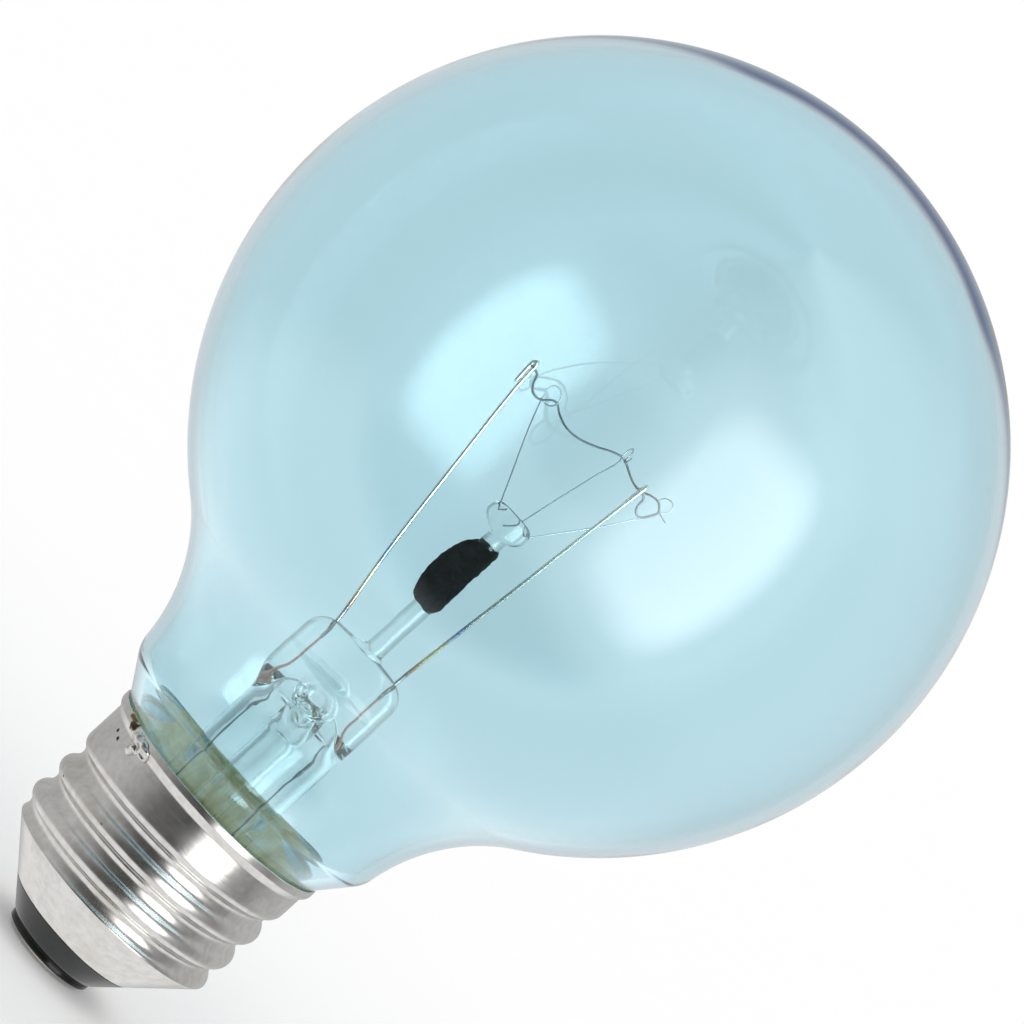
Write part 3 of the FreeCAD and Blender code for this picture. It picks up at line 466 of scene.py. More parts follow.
# outer line at inset 0, inner line at the wall's thickness, from the pole down to the neck's end
def envelopeLine(inset):
    big, hollowRound, crest, low = size.globe, size.blend, size.shoulderRound, size.neckLow
    globe = Vector((0, size.centre))
    shoulder = Vector((size.crest + size.shoulderStand - crest, size.rim + size.shoulderRise))
    span = shoulder - globe
    along = (big + hollowRound) ** 2 - (crest + hollowRound) ** 2 + span.length ** 2
    along /= 2 * span.length
    across = math.sqrt((big + hollowRound) ** 2 - along ** 2)
    unit = span.normalized()
    hollow = globe + unit * along + Vector((-unit.y, unit.x)) * across
    rimPoint = Vector((size.crest + size.flare - size.glassGap, size.rim))
    offset = rimPoint - shoulder
    fall = math.atan2(offset.y, offset.x) - math.asin(crest / offset.length)
    run = Vector((math.cos(fall), math.sin(fall)))
    normal = Vector((-run.y, run.x))
    neckRadius = size.crest - size.sheet - size.neckGap
    touch = shoulder + normal * crest
    travel = (neckRadius + low - (touch + normal * low).x) / run.x
    neck = touch + normal * low + run * travel
    line = arcPoints(globe, big - inset, 90, angleTo(globe, hollow), envelope["globeSteps"])
    line += arcPoints(hollow, hollowRound + inset, angleTo(hollow, globe), angleTo(hollow, shoulder),
                      envelope["blendSteps"])[1:]
    line += arcPoints(shoulder, crest - inset, angleTo(shoulder, hollow), angleTo(shoulder, touch),
                      envelope["shoulderSteps"])[1:]
    line += arcPoints(neck, low + inset, math.degrees(math.atan2(-normal.y, -normal.x)), 180,
                      envelope["lowSteps"])
    line.append((neckRadius - inset, size.rim - size.neckDepth))
    line[0] = (0.0, line[0][1])
    return line


def buildEnvelope(shape):
    spin(shape, envelopeLine(0.0) + envelopeLine(size.wall)[::-1], envelope["around"])


meshPiece("globe_glass", buildEnvelope, "globeGlass", "clear_glass", "glass_envelope")


# screw shell: thin sheet, rolled thread

shell = {"around": 216, "rows": 216, "insideRows": 108, "lipWave": 0.07, "lipWaves": 7.0, "lipRound": 0.09,
         "edgeRound": 0.03, "lipRise": 0.6}


def threadDepth(height, turn):
    depth, quarter = size.threadDepth, size.pitch / 4
    bend = (quarter ** 2 + (depth / 2) ** 2) / depth
    turns = (height - size.coneTop - size.firstCrest) / size.pitch - turn
    fromRoot = abs((turns - math.floor(turns) - 0.5) * size.pitch)
    rootTurn = math.floor(turns) + turn
    if fromRoot < quarter:
        sunk = depth - bend + math.sqrt(bend ** 2 - fromRoot ** 2)
    else:
        sunk = bend - math.sqrt(bend ** 2 - (2 * quarter - fromRoot) ** 2)
    return sunk * (1 - smoothStep((rootTurn - size.turns) / size.runout))


def shellOutside(height, turn):
    skirt = size.crest - threadDepth(height, turn)
    cone = size.root + (height - size.coneTop) * size.coneSlope
    radius = (skirt + cone - math.sqrt((skirt - cone) ** 2 + (size.sheet / 2) ** 2)) / 2
    lip = (height - size.lipFoot) / (size.lip * (1 - size.lipStraight))
    return radius + size.flare * smoothStep(lip)


def shellInside(height, turn):
    step = 0.05
    low, high = max(height - step, size.coneBottom), min(height + step, size.rim)
    slope = (shellOutside(high, turn) - shellOutside(low, turn)) / (high - low)
    return shellOutside(height, turn) - size.sheet * math.sqrt(1 + slope ** 2)


def buildShell(shape):
    around, edge = shell["around"], shell["edgeRound"]
    low, high = size.coneBottom, size.rim - shell["lipRound"]
    profile = [(height, shellOutside, 0.0) for height in stepsBetween(low, high, shell["rows"], 0)]
    profile += [(size.rim - edge, shellOutside, edge), (size.rim, shellOutside, size.sheet / 2),
                (size.rim - edge, shellInside, -edge)]
    profile += [(height, shellInside, 0.0) for height in stepsBetween(high, low, shell["insideRows"], 0)]
    rings = []
    for height, radiusAt, inset in profile:
        ring = []
        for i in range(around):
            turn = i / around
            wave = shell["lipWave"] * noise.noise(polar(shell["lipWaves"] / 2, 360 * turn, 3.0))
            wave = (wave - shell["lipWave"]) * smoothStep((height - size.lipFoot) / size.lip)
            ring.append(polar(radiusAt(height, turn) - inset, 360 * turn, height + wave * shell["lipRise"]))
        rings.append(ring)
    joinRings(shape, rings, closed=True)


meshPiece("screw_shell_sheet", buildShell, "shellMetal", "shell_metal", "screw_shell")


# black glass insulator, with the moulded lip round its foot
insulator = {"around": 144, "hole": 1.12, "innerTop": 4.65, "innerRise": 2.6, "edge": 0.22, "lipRound": 0.08,
             "lipStand": 0.12, "lipHeight": 0.5, "coneSteps": 24, "seatGap": 0.02, "flat": 0.6, "lipFade": 5}


def buildInsulator(shape):
    seat = size.coneEdge - size.sheet * math.sqrt(1 + size.coneSlope ** 2) - insulator["seatGap"]
    foot, low, top = size.footRadius, size.footBottom, size.coneBottom
    edge, hole, small = insulator["edge"], insulator["hole"], insulator["lipRound"]
    profile = [(hole, low), (hole + insulator["flat"], low), (size.contactRadius, low + 0.001)]
    profile += arcPoints((foot - edge, low + edge), edge, -90, 0, 6)
    profile += arcPoints((foot - small, low + insulator["lipHeight"]), small, 0, 60, 3)
    for share in stepsBetween(0, 1, insulator["coneSteps"], 0):  # cone, a little hollow just above the lip
        hollow = insulator["lipStand"] * (1 - smoothStep(share * insulator["lipFade"]))
        profile.append((mix(foot, size.coneEdge, share) - hollow, mix(size.footTop - 0.05, top, share)))
    rise, innerTop = insulator["innerRise"], insulator["innerTop"]
    profile += [(seat, top + 0.01), (seat + size.coneSlope * rise, top + rise), (hole * 2, innerTop),
                (hole, innerTop)]
    spin(shape, profile, insulator["around"])


meshPiece("insulator_glass", buildInsulator, "insulatorBlack", "insulator_black", "base_insulator")


# brass eyelet with a rolled edge, and the solder that fills it
eyelet = {"around": 96, "barrelTop": 3.05, "roll": 0.12}
solderDrop = {"around": 72, "rings": 14, "flat": 1.3, "plugTop": 1.75, "plugDome": 0.15,
              "lump": 0.03, "grain": 1.8, "uneven": 0.06}


def buildEyelet(shape):
    low, sheet, bore = size.contactFace, size.contactSheet, size.contactBore
    outer = bore + sheet
    profile = [(bore, low + 0.02), (bore + 0.1, low)]
    profile += arcPoints((size.contactRadius - eyelet["roll"], low + sheet / 2), eyelet["roll"], -90, 90, 8)
    profile += [(outer + 0.1, low + sheet), (outer, low + sheet + 0.1), (outer, eyelet["barrelTop"]),
                (bore, eyelet["barrelTop"])]
    spin(shape, profile, eyelet["around"])


def buildCentreSolder(shape):
    count, flat = solderDrop["around"], solderDrop["flat"]
    rings = [[Vector((0, 0, 0.0))]]
    for share in stepsBetween(0, 1, solderDrop["rings"]):
        ring = []
        for i in range(count):
            wave = noise.noise(polar(1.4, 360 * i / count, 7.0)) - 1
            edge = size.domeRadius * (1 + solderDrop["uneven"] * wave)
            over = max(edge * share - flat, 0) / (edge - flat)
            rise = size.contactFace * (1 - math.sqrt(max(1 - over ** 2, 0)))
            spot = polar(edge * share, 360 * i / count, 0)
            lump = solderDrop["lump"] * abs(noise.noise(spot * solderDrop["grain"]))
            lump *= (1 - over) * min(over * 4, 1)
            ring.append(spot + Vector((0, 0, rise + lump)))
        rings.append(ring)
    rings += [circle(size.contactBore, height, count) for height in (size.contactFace, solderDrop["plugTop"])]
    rings.append([Vector((0, 0, solderDrop["plugTop"] + solderDrop["plugDome"]))])
    joinRings(shape, rings)


meshPiece("contact_eyelet", buildEyelet, "contactMetal", "contact_metal", "centre_contact")
meshPiece("centre_solder_drop", buildCentreSolder, "solderMetal", "solder_grey", "centre_solder")


# cement between neck and shell: lumpy top edge, thicker and thinner round the glass
cement = {"around": 200, "rows": 16, "gap": 0.03, "topWave": 0.7, "waves": 2.6, "smallWave": 0.3,
          "smallWaves": 9.0, "sideFall": 1.3, "lowest": 0.25}


def neckOutside(line, height):
    for (r0, z0), (r1, z1) in zip(line, line[1:]):
        if z1 <= height <= z0:
            return mix(r0, r1, (z0 - height) / max(z0 - z1, 1e-6))
    return line[-1][0]


def cementTop(degrees):
    wave = cement["topWave"] * noise.noise(polar(cement["waves"] / 2, degrees, 1.0))
    wave += cement["smallWave"] * noise.noise(polar(cement["smallWaves"] / 2, degrees, 5.0))
    wave -= cement["sideFall"] * abs(math.cos(math.radians(degrees))) ** 3
    return size.rim - size.sheet - cement["lowest"] + min(wave, cement["lowest"])


def buildCement(shape):
    line = [spot for spot in envelopeLine(0.0) if spot[1] < size.centre - size.globe * 0.5]
    foot, gap, count = size.rim - size.cementHeight, cement["gap"], cement["around"]
    upward = stepsBetween(0, 1, cement["rows"], 0)
    rings = []
    for inner, shares in ((True, upward), (False, upward[::-1])):
        for share in shares:
            ring = []
            for i in range(count):
                height = mix(foot, cementTop(360 * i / count), share)
                radius = neckOutside(line, height) + gap
                if not inner:
                    radius = max(shellInside(height, i / count) - gap, radius + gap)
                ring.append(polar(radius, 360 * i / count, height))
            rings.append(ring)
    joinRings(shape, rings, closed=True)


meshPiece("basing_cement_ring", buildCement, "cementOlive", "cement_olive", "basing_cement")


# solder on the rim: a lobed splash over the skirt and the foot of the lip
# outline is the direction in degrees, from sideways towards the rim, and the reach in mm
rimDrop = {
    "angle": 229.0, "height": 22.7, "thickness": 0.62, "around": 96, "rings": 26, "lumps": 1.5,
    "lumpDepth": 0.3,
    "outline": (
        (14.7, 2.0), (35.7, 1.6), (80.0, 1.2), (124.0, 1.4), (146.0, 1.35), (187.0, 1.5), (215.0, 1.2),
        (233.6, 1.6), (256.0, 1.45), (285.0, 0.8), (322.0, 0.85), (351.0, 1.95)),
    "back": 0.03, "belowRim": 0.02, "fall": 2.6,
}


def rimDropReach(degrees):
    stops = rimDrop["outline"]
    stops = [(stops[-1][0] - 360, stops[-1][1]), *stops, (stops[0][0] + 360, stops[0][1])]
    for (a, first), (b, second) in zip(stops, stops[1:]):
        if a <= degrees <= b:
            return mix(first, second, smoothStep((degrees - a) / (b - a)))


def onShell(aside, height, stand):
    degrees = rimDrop["angle"] + math.degrees(aside / size.crest)
    return polar(shellOutside(min(height, size.rim), (degrees / 360) % 1.0) + stand, degrees, height)


def rimDropPoint(degrees, share, front):
    reach = rimDropReach(degrees) * share
    aside = reach * math.cos(math.radians(degrees))
    height = rimDrop["height"] + reach * math.sin(math.radians(degrees))
    height = min(height, size.rim - rimDrop["belowRim"])
    if not front:
        return onShell(aside, height, -rimDrop["back"] * (1 - share))
    lump = noise.noise(Vector((aside, height, 2.0)) * rimDrop["lumps"])
    rise = rimDrop["thickness"] * (1 + rimDrop["lumpDepth"] * lump * 2)
    return onShell(aside, height, rise * math.sqrt(1 - share ** rimDrop["fall"]))


def buildRimSolder(shape):
    count = rimDrop["around"]
    for front in (True, False):
        rings = []
        for share in stepsBetween(0, 1, rimDrop["rings"], 0):
            rings.append([rimDropPoint(360 * i / count, share, front) for i in range(count if share else 1)])
        joinRings(shape, rings)
    bmesh.ops.remove_doubles(shape, verts=shape.verts, dist=1e-8)


meshPiece("rim_solder_splash", buildRimSolder, "solderMetal", "solder_grey", "rim_solder")


# glass mount: flare, tube, press, exhaust tube, rod and button, melted into one glass
mount = {
    "around": 160, "flareRadius": 9.78, "flareLip": 9.45, "flareFoot": 14.0, "flareEdge": 15.0,
    "flareTop": 22.0, "tube": 5.7, "bore": 4.7, "pinchLow": 33.4, "pinchHigh": 38.0, "pressHalf": 6.25,
    "pressDeep": 2.1, "pressShift": -0.5, "pressWaist": 0.30, "shoulder": 41.3, "pressTop": 43.9,
    "corner": 2.6, "collar": 1.7, "collarTop": 44.4, "rodFoot": 44.8, "rod": 1.1, "rodShift": -0.1,
    "rodHead": 61.3, "buttonTop": 64.0, "buttonHalf": 2.6, "buttonDeep": 1.75, "buttonShift": -0.45,
    "ventAcross": -0.5, "ventUp": 38.5, "ventRadius": 1.85, "ventLip": 0.30, "ventStand": 0.62,
    "ventDepth": 1.0, "ventEdge": 0.85, "boreEnd": 33.4, "ceilingFront": 1.3, "ceilingSide": 5.2,
    "ceilingWall": 0.75, "exhaust": 1.87, "exhaustBore": 1.22, "exhaustTip": 10.8, "boreTop": 36.6,
    "collarShift": -0.7, "collarOut": 0.25, "collarDeep": 0.8, "rodWave": 0.02, "rodWaves": 1.3,
    "pressRound": 2.5, "topRound": 2.2, "waistHalf": 0.62, "waistFade": 0.3, "ventFade": 0.55,
    "ceilingGap": 0.12, "lobes": 0.28,
}
stem = SimpleNamespace(**mount)


# bell of the flare: from a radius at its top out to another at its edge
def flareRadius(inner, outer, low, height):
    width, tall = outer - inner, stem.flareTop - low
    bend = (width ** 2 + tall ** 2) / (2 * width)
    return inner + bend - math.sqrt(bend ** 2 - (stem.flareTop - height) ** 2)


# half width, half depth, shift along X, roundness and waist of the mount at a height
def mountSection(height):
    if height <= stem.flareEdge:
        return stem.flareRadius, stem.flareRadius, 0.0, 2.0, 0.0
    if height <= stem.flareTop:
        radius = flareRadius(stem.tube, stem.flareRadius, stem.flareEdge, height)
        return radius, radius, 0.0, 2.0, 0.0
    pinch = smoothStep((height - stem.pinchLow) / (stem.pinchHigh - stem.pinchLow))
    if height <= stem.shoulder:
        return (mix(stem.tube, stem.pressHalf, pinch), mix(stem.tube, stem.pressDeep, pinch),
                stem.pressShift * pinch, mix(2.0, stem.pressRound, pinch), stem.pressWaist * pinch)
    if height <= stem.pressTop:
        up = (height - stem.shoulder) / stem.corner
        fall = math.sqrt(max(1 - up ** 2, 0.0))
        return (stem.pressHalf - stem.corner * (1 - fall), stem.pressDeep * (0.6 + 0.4 * fall),
                stem.pressShift, mix(stem.pressRound, stem.topRound, up), stem.pressWaist * fall)
    swell = stem.rod * (1 + stem.rodWave * math.sin(height * stem.rodWaves))
    return swell, swell, stem.rodShift, 2.0, 0.0


def mountRing(half, deep, shift, height, roundness=2.0, waist=0.0):
    ring = []
    for i in range(stem.around):
        turn = 2 * math.pi * i / stem.around
        across, along = math.cos(turn), math.sin(turn)
        x = half * math.copysign(abs(across) ** (2 / roundness), across)
        y = deep * math.copysign(abs(along) ** (2 / roundness), along)
        y *= 1 - waist * (1 - smoothStep((abs(x) / half - stem.waistHalf) / stem.waistFade))
        ring.append(Vector((x + shift, y, height)))
    return ring


def roundRing(radius, height, shift=0):
    return mountRing(radius, radius, shift, height)


def sectionRing(height):
    half, deep, shift, roundness, waist = mountSection(height)
    return mountRing(half, deep, shift, height, roundness, waist)


# rounded lip and hollow of the air hole, pressed into the front
def withVent(ring):
    for place in ring:
        if place.y < 0:
            far = math.hypot(place.x - stem.ventAcross, place.z - stem.ventUp)
            place.y -= stem.ventStand * math.exp(-((far - stem.ventRadius) / stem.ventLip) ** 2)
            place.y += stem.ventDepth * (1 - smoothStep((far - stem.ventEdge) / stem.ventFade))
    return ring


# inside, where the pinch closes the tube: low in front and behind, two pockets rise beside the exhaust tube
def ceilingRing(turn):
    ring = []
    for place in roundRing(1, 0):
        rise = mix(stem.ceilingFront, stem.ceilingSide, abs(place.x) ** 1.6)
        radius = mix(stem.exhaust + stem.ceilingGap, stem.bore, math.cos(turn))
        height = stem.boreEnd + rise * math.sin(turn)
        half, deep, shift, roundness, waist = mountSection(height)
        y = place.y * radius
        y /= (1 + abs(y / (deep * (1 - waist) - stem.ceilingWall)) ** 4) ** 0.25
        ring.append(Vector((place.x * radius + shift * 0.6, y, height)))
    return ring


# from the flare's foot up to the top of the button
def mountOutside():
    rings = [roundRing(stem.flareRadius, height)
             for height in stepsBetween(stem.flareFoot, stem.flareEdge, 3, 0)]
    for low, high, count in ((stem.flareEdge, stem.flareTop, 24), (stem.flareTop, stem.pinchLow, 10),
                             (stem.pinchLow, stem.shoulder, 64)):
        rings += [withVent(sectionRing(height)) for height in stepsBetween(low, high, count)]
    rings += [sectionRing(stem.shoulder + stem.corner * math.sin(turn))
              for turn in stepsBetween(0, math.pi / 2, 24)]
    half, deep, shift, roundness, waist = mountSection(stem.pressTop)
    wide, thick = stem.collar + stem.collarOut, stem.collar * stem.collarDeep
    for share in stepsBetween(0, 1, 12):  # top of the press in to the collar
        height = stem.pressTop + 0.06 * math.sin(math.pi * share) - 0.04 * share
        rings.append(mountRing(mix(half, wide, share), mix(deep, thick, share),
                               mix(shift, stem.collarShift, share), height, mix(roundness, 2.0, share)))
    for share in stepsBetween(0, 1, 16):  # melted collar round the foot of the rod
        swell, bulge = 0.22 * (1 - math.cos(math.pi * share)), math.sin(math.pi * share)
        height = mix(stem.pressTop - 0.02, stem.collarTop, share) + 0.10 * bulge
        rings.append(mountRing(wide - swell * 0.9 + 0.12 * bulge, thick - swell * 0.4,
                               mix(stem.collarShift, stem.buttonShift, share), height))
    for share in stepsBetween(0, 1, 14):  # hollow curve into the rod
        fall = (1 - share) ** 2.2
        rings.append(mountRing(stem.rod + (stem.collar - 0.15 - stem.rod) * fall, stem.rod + 0.1 * fall,
                               mix(stem.rodShift, stem.buttonShift, fall),
                               mix(stem.collarTop, stem.rodFoot, share)))
    rings += [sectionRing(height) for height in stepsBetween(stem.rodFoot, stem.rodHead, 40)]
    for share in stepsBetween(0, 1, 40)[:-1]:  # button: swells out, pinched flat and lobed at both ends
        over = max(share * 2 - 1, 0)
        swell = math.sin(math.pi * share) ** 0.7 if share < 0.5 else 1.0
        close = math.sqrt(1 - over ** 2.4)
        up = min(share, 0.5) + 0.5 * math.sin(math.pi / 2 * over)
        half = mix(stem.rod, stem.buttonHalf, swell) * close
        deep = mix(stem.rod, stem.buttonDeep, swell) * close
        rings.append(mountRing(half, deep, mix(stem.rodShift, stem.buttonShift, swell),
                               mix(stem.rodHead, stem.buttonTop, up), 2.0, stem.lobes * swell))
    return rings + [[Vector((stem.buttonShift, 0, stem.buttonTop))]]


# inside of the flare and the tube, then back down round the exhaust tube to its tip
def mountInside():
    rings = [roundRing(flareRadius(stem.bore, stem.flareLip, stem.flareFoot, height), height)
             for height in stepsBetween(stem.flareFoot, stem.flareTop, 24, 0)]
    rings += [roundRing(stem.bore, height) for height in stepsBetween(stem.flareTop, stem.boreEnd, 8)]
    rings += [ceilingRing(turn) for turn in stepsBetween(0, math.pi / 2, 24)]
    top, level = rings[-1], roundRing(stem.exhaust, stem.boreEnd - 1.0)
    for share in stepsBetween(0, 1, 24):
        ring = []
        for up, flat in zip(top, level):
            spot = up.lerp(flat, smoothStep(share * 2))
            ring.append(Vector((spot.x, spot.y, mix(up.z, flat.z, share))))
        rings.append(ring)
    end = stem.exhaustTip + stem.exhaust
    rings += [roundRing(stem.exhaust, height) for height in stepsBetween(stem.boreEnd - 1.0, end, 12)]
    rings += [roundRing(stem.exhaust * math.cos(turn), end - stem.exhaust * math.sin(turn))
              for turn in stepsBetween(0, math.pi / 2, 12)[:-1]]
    return rings + [[Vector((0, 0, stem.exhaustTip))]]


# closed hollow of the exhaust tube, up to the air hole
def exhaustHollow():
    bore, end, top = stem.exhaustBore, stem.exhaustTip + stem.exhaust, stem.boreTop - stem.exhaustBore
    rings = [[Vector((0, 0, end - bore))]]
    rings += [roundRing(bore * math.sin(turn), end - bore * math.cos(turn))
              for turn in stepsBetween(0, math.pi / 2, 8)]
    rings += [roundRing(bore, mix(end, top, share), stem.ventAcross * smoothStep((share - 0.9) / 0.1))
              for share in stepsBetween(0, 1, 20)]
    rings += [roundRing(bore * math.cos(turn), top + bore * math.sin(turn), stem.ventAcross)
              for turn in stepsBetween(0, math.pi / 2, 9)[:-1]]
    return rings + [[Vector((stem.ventAcross, 0, stem.boreTop))]]


def buildMount(shape):
    joinRings(shape, mountInside()[::-1] + mountOutside())
    cavity = shape.faces.layers.int.new("cavity")
    for face in joinRings(shape, exhaustHollow()):
        face[cavity] = 1


meshPiece("mount_glass", buildMount, "mountGlass", "stem_glass", "stem_tube", "exhaust_tube", "support_cane")


# dark getter paste round the rod: heavier on its left, ragged at both ends
# a row is the height, the left and right edges and the half depth
getter = {
    "rows": (
        (51.1, -0.85, 0.5, 0.75), (51.35, -1.5, 1.15, 1.35), (51.9, -2.05, 1.32, 1.62),
        (53.0, -2.45, 1.34, 1.78), (54.4, -2.64, 1.32, 1.85), (56.7, -2.55, 1.30, 1.82),
        (58.2, -2.24, 1.34, 1.72), (59.1, -1.76, 1.36, 1.55), (59.7, -1.15, 1.30, 1.35),
        (60.0, -0.4, 1.15, 1.0), (60.12, 0.1, 0.85, 0.5)),
    "around": 96, "steps": 9, "grain": 1.6, "depth": 0.14, "rag": 0.25, "ragGrain": 1.5, "ragReach": 1.5,
}


def buildGetter(shape):
    rows = getter["rows"]
    low, high, grain = rows[0][0], rows[-1][0], getter["ragGrain"]
    line = smoothLine([(left, right, height) for height, left, right, deep in rows], getter["steps"])
    deeps = smoothLine([(deep, 0, height) for height, left, right, deep in rows], getter["steps"])
    rings = [[Vector((0.0, 0, low - 0.02))]]
    for (left, right, height), depth in zip(line, deeps):
        toEnd = min(height - low, high - height)
        ring = []
        for i in range(getter["around"]):
            turn = 2 * math.pi * i / getter["around"]
            out = Vector((math.cos(turn), math.sin(turn), 0))
            spot = Vector(((left + right) / 2 + (right - left) / 2 * out.x, depth.x * out.y, height))
            lump = getter["depth"] * noise.noise(spot * getter["grain"])
            rag = getter["rag"] * noise.noise(Vector((spot.x * grain, spot.y * grain, 9.0)))
            rag *= 1 - smoothStep(toEnd / getter["ragReach"])
            ring.append(spot + out * lump + Vector((0, 0, rag)))
        rings.append(ring)
    rings.append([Vector((0.4, 0, high - 0.1))])
    joinRings(shape, rings)


meshPiece("getter_paste", buildGetter, "getterBlack", "getter_black", "getter_sleeve")


# inner leads: out of the press, up to the hairpins that clamp the filament's ends
innerLeads = {
    "left": (
        (-4.62, 0, 41.7), (-4.68, 0, 43.3), (-4.98, -0.04, 45.3), (-6.45, -0.28, 52.4), (-8.3, -0.6, 63.5),
        (-9.35, -0.85, 70.0), (-9.76, -0.97, 73.0), (-9.93, -1.0, 75.05), (-9.97, -0.97, 75.42),
        (-10.15, -0.92, 75.62), (-10.36, -0.88, 75.4), (-10.38, -0.88, 75.0), (-10.22, -0.86, 72.95)),
    "right": (
        (3.70, 0, 41.7), (3.71, 0, 43.3), (3.80, -0.25, 45.4), (4.05, -1.25, 49.5), (4.72, -3.6, 58.5),
        (5.35, -5.85, 68.0), (5.74, -6.85, 73.0), (5.92, -7.02, 75.05), (5.95, -6.95, 75.42),
        (5.90, -6.78, 75.62), (5.83, -6.58, 75.4), (5.80, -6.55, 75.0), (5.66, -6.4, 72.95)),
    "radius": 0.21,
}
for side in ("left", "right"):
    wirePiece("lead_" + side, innerLeads[side], innerLeads["radius"], "leadMetal", "lead_nickel",
              "lead_wire_" + side, 14, 20)


# copper-red wires sealed in the press
sealWires = {
    "left": (
        (-4.64, 0, 42.2), (-4.68, 0, 40.4), (-4.86, 0, 38.8), (-5.25, 0, 37.6), (-5.30, 0, 36.5),
        (-5.02, 0, 35.6), (-4.66, 0, 34.95), (-4.45, 0, 34.5)),
    "right": (
        (3.70, 0, 42.2), (3.67, 0, 40.3), (3.66, 0, 38.9), (3.86, 0, 38.0), (4.16, 0, 37.2),
        (4.36, 0, 36.3), (4.22, 0, 35.5), (3.92, 0, 34.9), (3.75, 0, 34.5)),
    "radius": 0.15,
}
for side in ("left", "right"):
    wirePiece("seal_" + side, sealWires[side], sealWires["radius"], "copperWire", "seal_copper",
              "seal_wire_" + side, 10, 16)


# outer leads: a knot of weld at the seal wire, then a thin wire into the base
outerLeads = {
    "rim": (
        (-4.60, 0, 34.95), (-4.52, 0, 34.3), (-4.15, 0, 33.75), (-4.02, 0, 33.3), (-4.3, 0, 33.02),
        (-4.42, 0, 32.7), (-4.45, 0, 31.8), (-4.42, 0, 30.0), (-4.38, 0, 26.0), (-4.28, 0, 20.0),
        (-4.2, 0, 15.6), (-5.3, -2.1, 12.4), (-6.9, -7.2, 12.25), (-7.75, -8.32, 13.6),
        (-7.81, -8.37, 15.5), (-7.81, -8.37, 20.4), (-8.1, -8.7, 22.0), (-8.7, -9.33, 22.6),
        (-9.09, -9.75, 22.6)),
    "centre": (
        (3.70, 0, 34.95), (3.78, 0, 33.8), (3.86, 0, 32.6), (3.89, 0, 31.4), (3.84, 0, 30.6),
        (3.78, 0, 29.9), (3.76, 0, 28.4), (3.9, 0, 22.0), (4.1, 0, 15.4), (2.7, 0, 9.6), (1.2, 0, 7.2),
        (0.1, 0, 5.2), (0, 0, 3.0), (0, 0, 0.25)),
    "thin": 0.115, "thick": 0.20, "thickEnd": {"rim": 32.5, "centre": 31.2}, "taper": 0.9, "lump": 0.22,
    "grain": 2.2,
}


def outerLead(side):
    line = evenLine(smoothLine(outerLeads[side], 16), 0.08)
    thickEnd, taper = outerLeads["thickEnd"][side], outerLeads["taper"]

    def radiusAt(number):
        share = smoothStep((line[number].z - thickEnd + taper) / taper)
        lump = 1 + outerLeads["lump"] * noise.noise(line[number] * outerLeads["grain"]) * share
        return mix(outerLeads["thin"], outerLeads["thick"], share) * lump

    meshPiece("outer_lead_to_" + side, lambda shape: sweepWire(shape, line, radiusAt, 12), "outerWireMetal",
              "outer_copper", "outer_lead_" + side)


outerLead("rim")
outerLead("centre")


# support wires: bent foot in the button, long leg, loop round the filament and a cut end
supports = {
    "left": (
        (-1.5, -0.3, 63.55), (-1.9, 0.0, 63.15), (-2.08, 0.18, 63.05), (-2.2, 0.3, 63.2),
        (-3.6, 1.95, 65.8), (-5.96, 4.5, 70.2), (-6.9, 5.6, 72.2), (-7.25, 5.95, 73.0), (-7.45, 6.0, 73.6),
        (-7.64, 6.05, 74.25), (-7.38, 6.1, 75.0), (-6.78, 6.2, 75.13), (-6.28, 6.25, 74.86),
        (-5.98, 6.35, 74.3), (-5.98, 6.4, 73.72), (-6.2, 6.5, 73.32), (-6.63, 6.55, 73.1),
        (-7.0, 6.5, 73.12), (-7.32, 6.42, 73.2)),
    "middle": (
        (-0.6, -0.2, 62.4), (-0.2, 0.3, 62.8), (0.05, 0.75, 63.05), (0.15, 0.95, 63.15), (0.3, 1.4, 63.6),
        (1.0, 3.9, 67.3), (2.0, 7.2, 72.3), (2.5, 8.75, 74.45), (2.36, 8.48, 74.95), (2.28, 8.42, 75.45),
        (2.34, 8.7, 76.05), (2.52, 9.25, 76.36), (2.7, 9.8, 76.12), (2.80, 9.98, 75.55),
        (2.80, 9.75, 75.05), (2.88, 9.35, 74.78), (3.02, 9.1, 75.05), (3.14, 8.9, 75.7)),
    "right": (
        (0.7, 0.7, 63.45), (1.3, 0.5, 63.2), (1.68, 0.42, 63.05), (1.85, 0.45, 63.2), (3.0, 0.95, 64.85),
        (5.9, 2.3, 69.1), (7.86, 3.05, 72.4), (8.76, 3.3, 74.13), (9.14, 3.35, 74.55), (9.45, 3.45, 75.17),
        (9.23, 3.55, 75.75), (8.74, 3.7, 75.9), (8.16, 3.85, 75.6), (7.95, 3.95, 75.05),
        (8.34, 4.05, 74.62), (8.92, 4.05, 74.25), (10.0, 3.95, 74.02)),
    "radius": 0.072,
}
for side in ("left", "middle", "right"):
    wirePiece("support_" + side, supports[side], supports["radius"], "supportMetal", "support_grey",
              "filament_support_" + side, 12, 12)


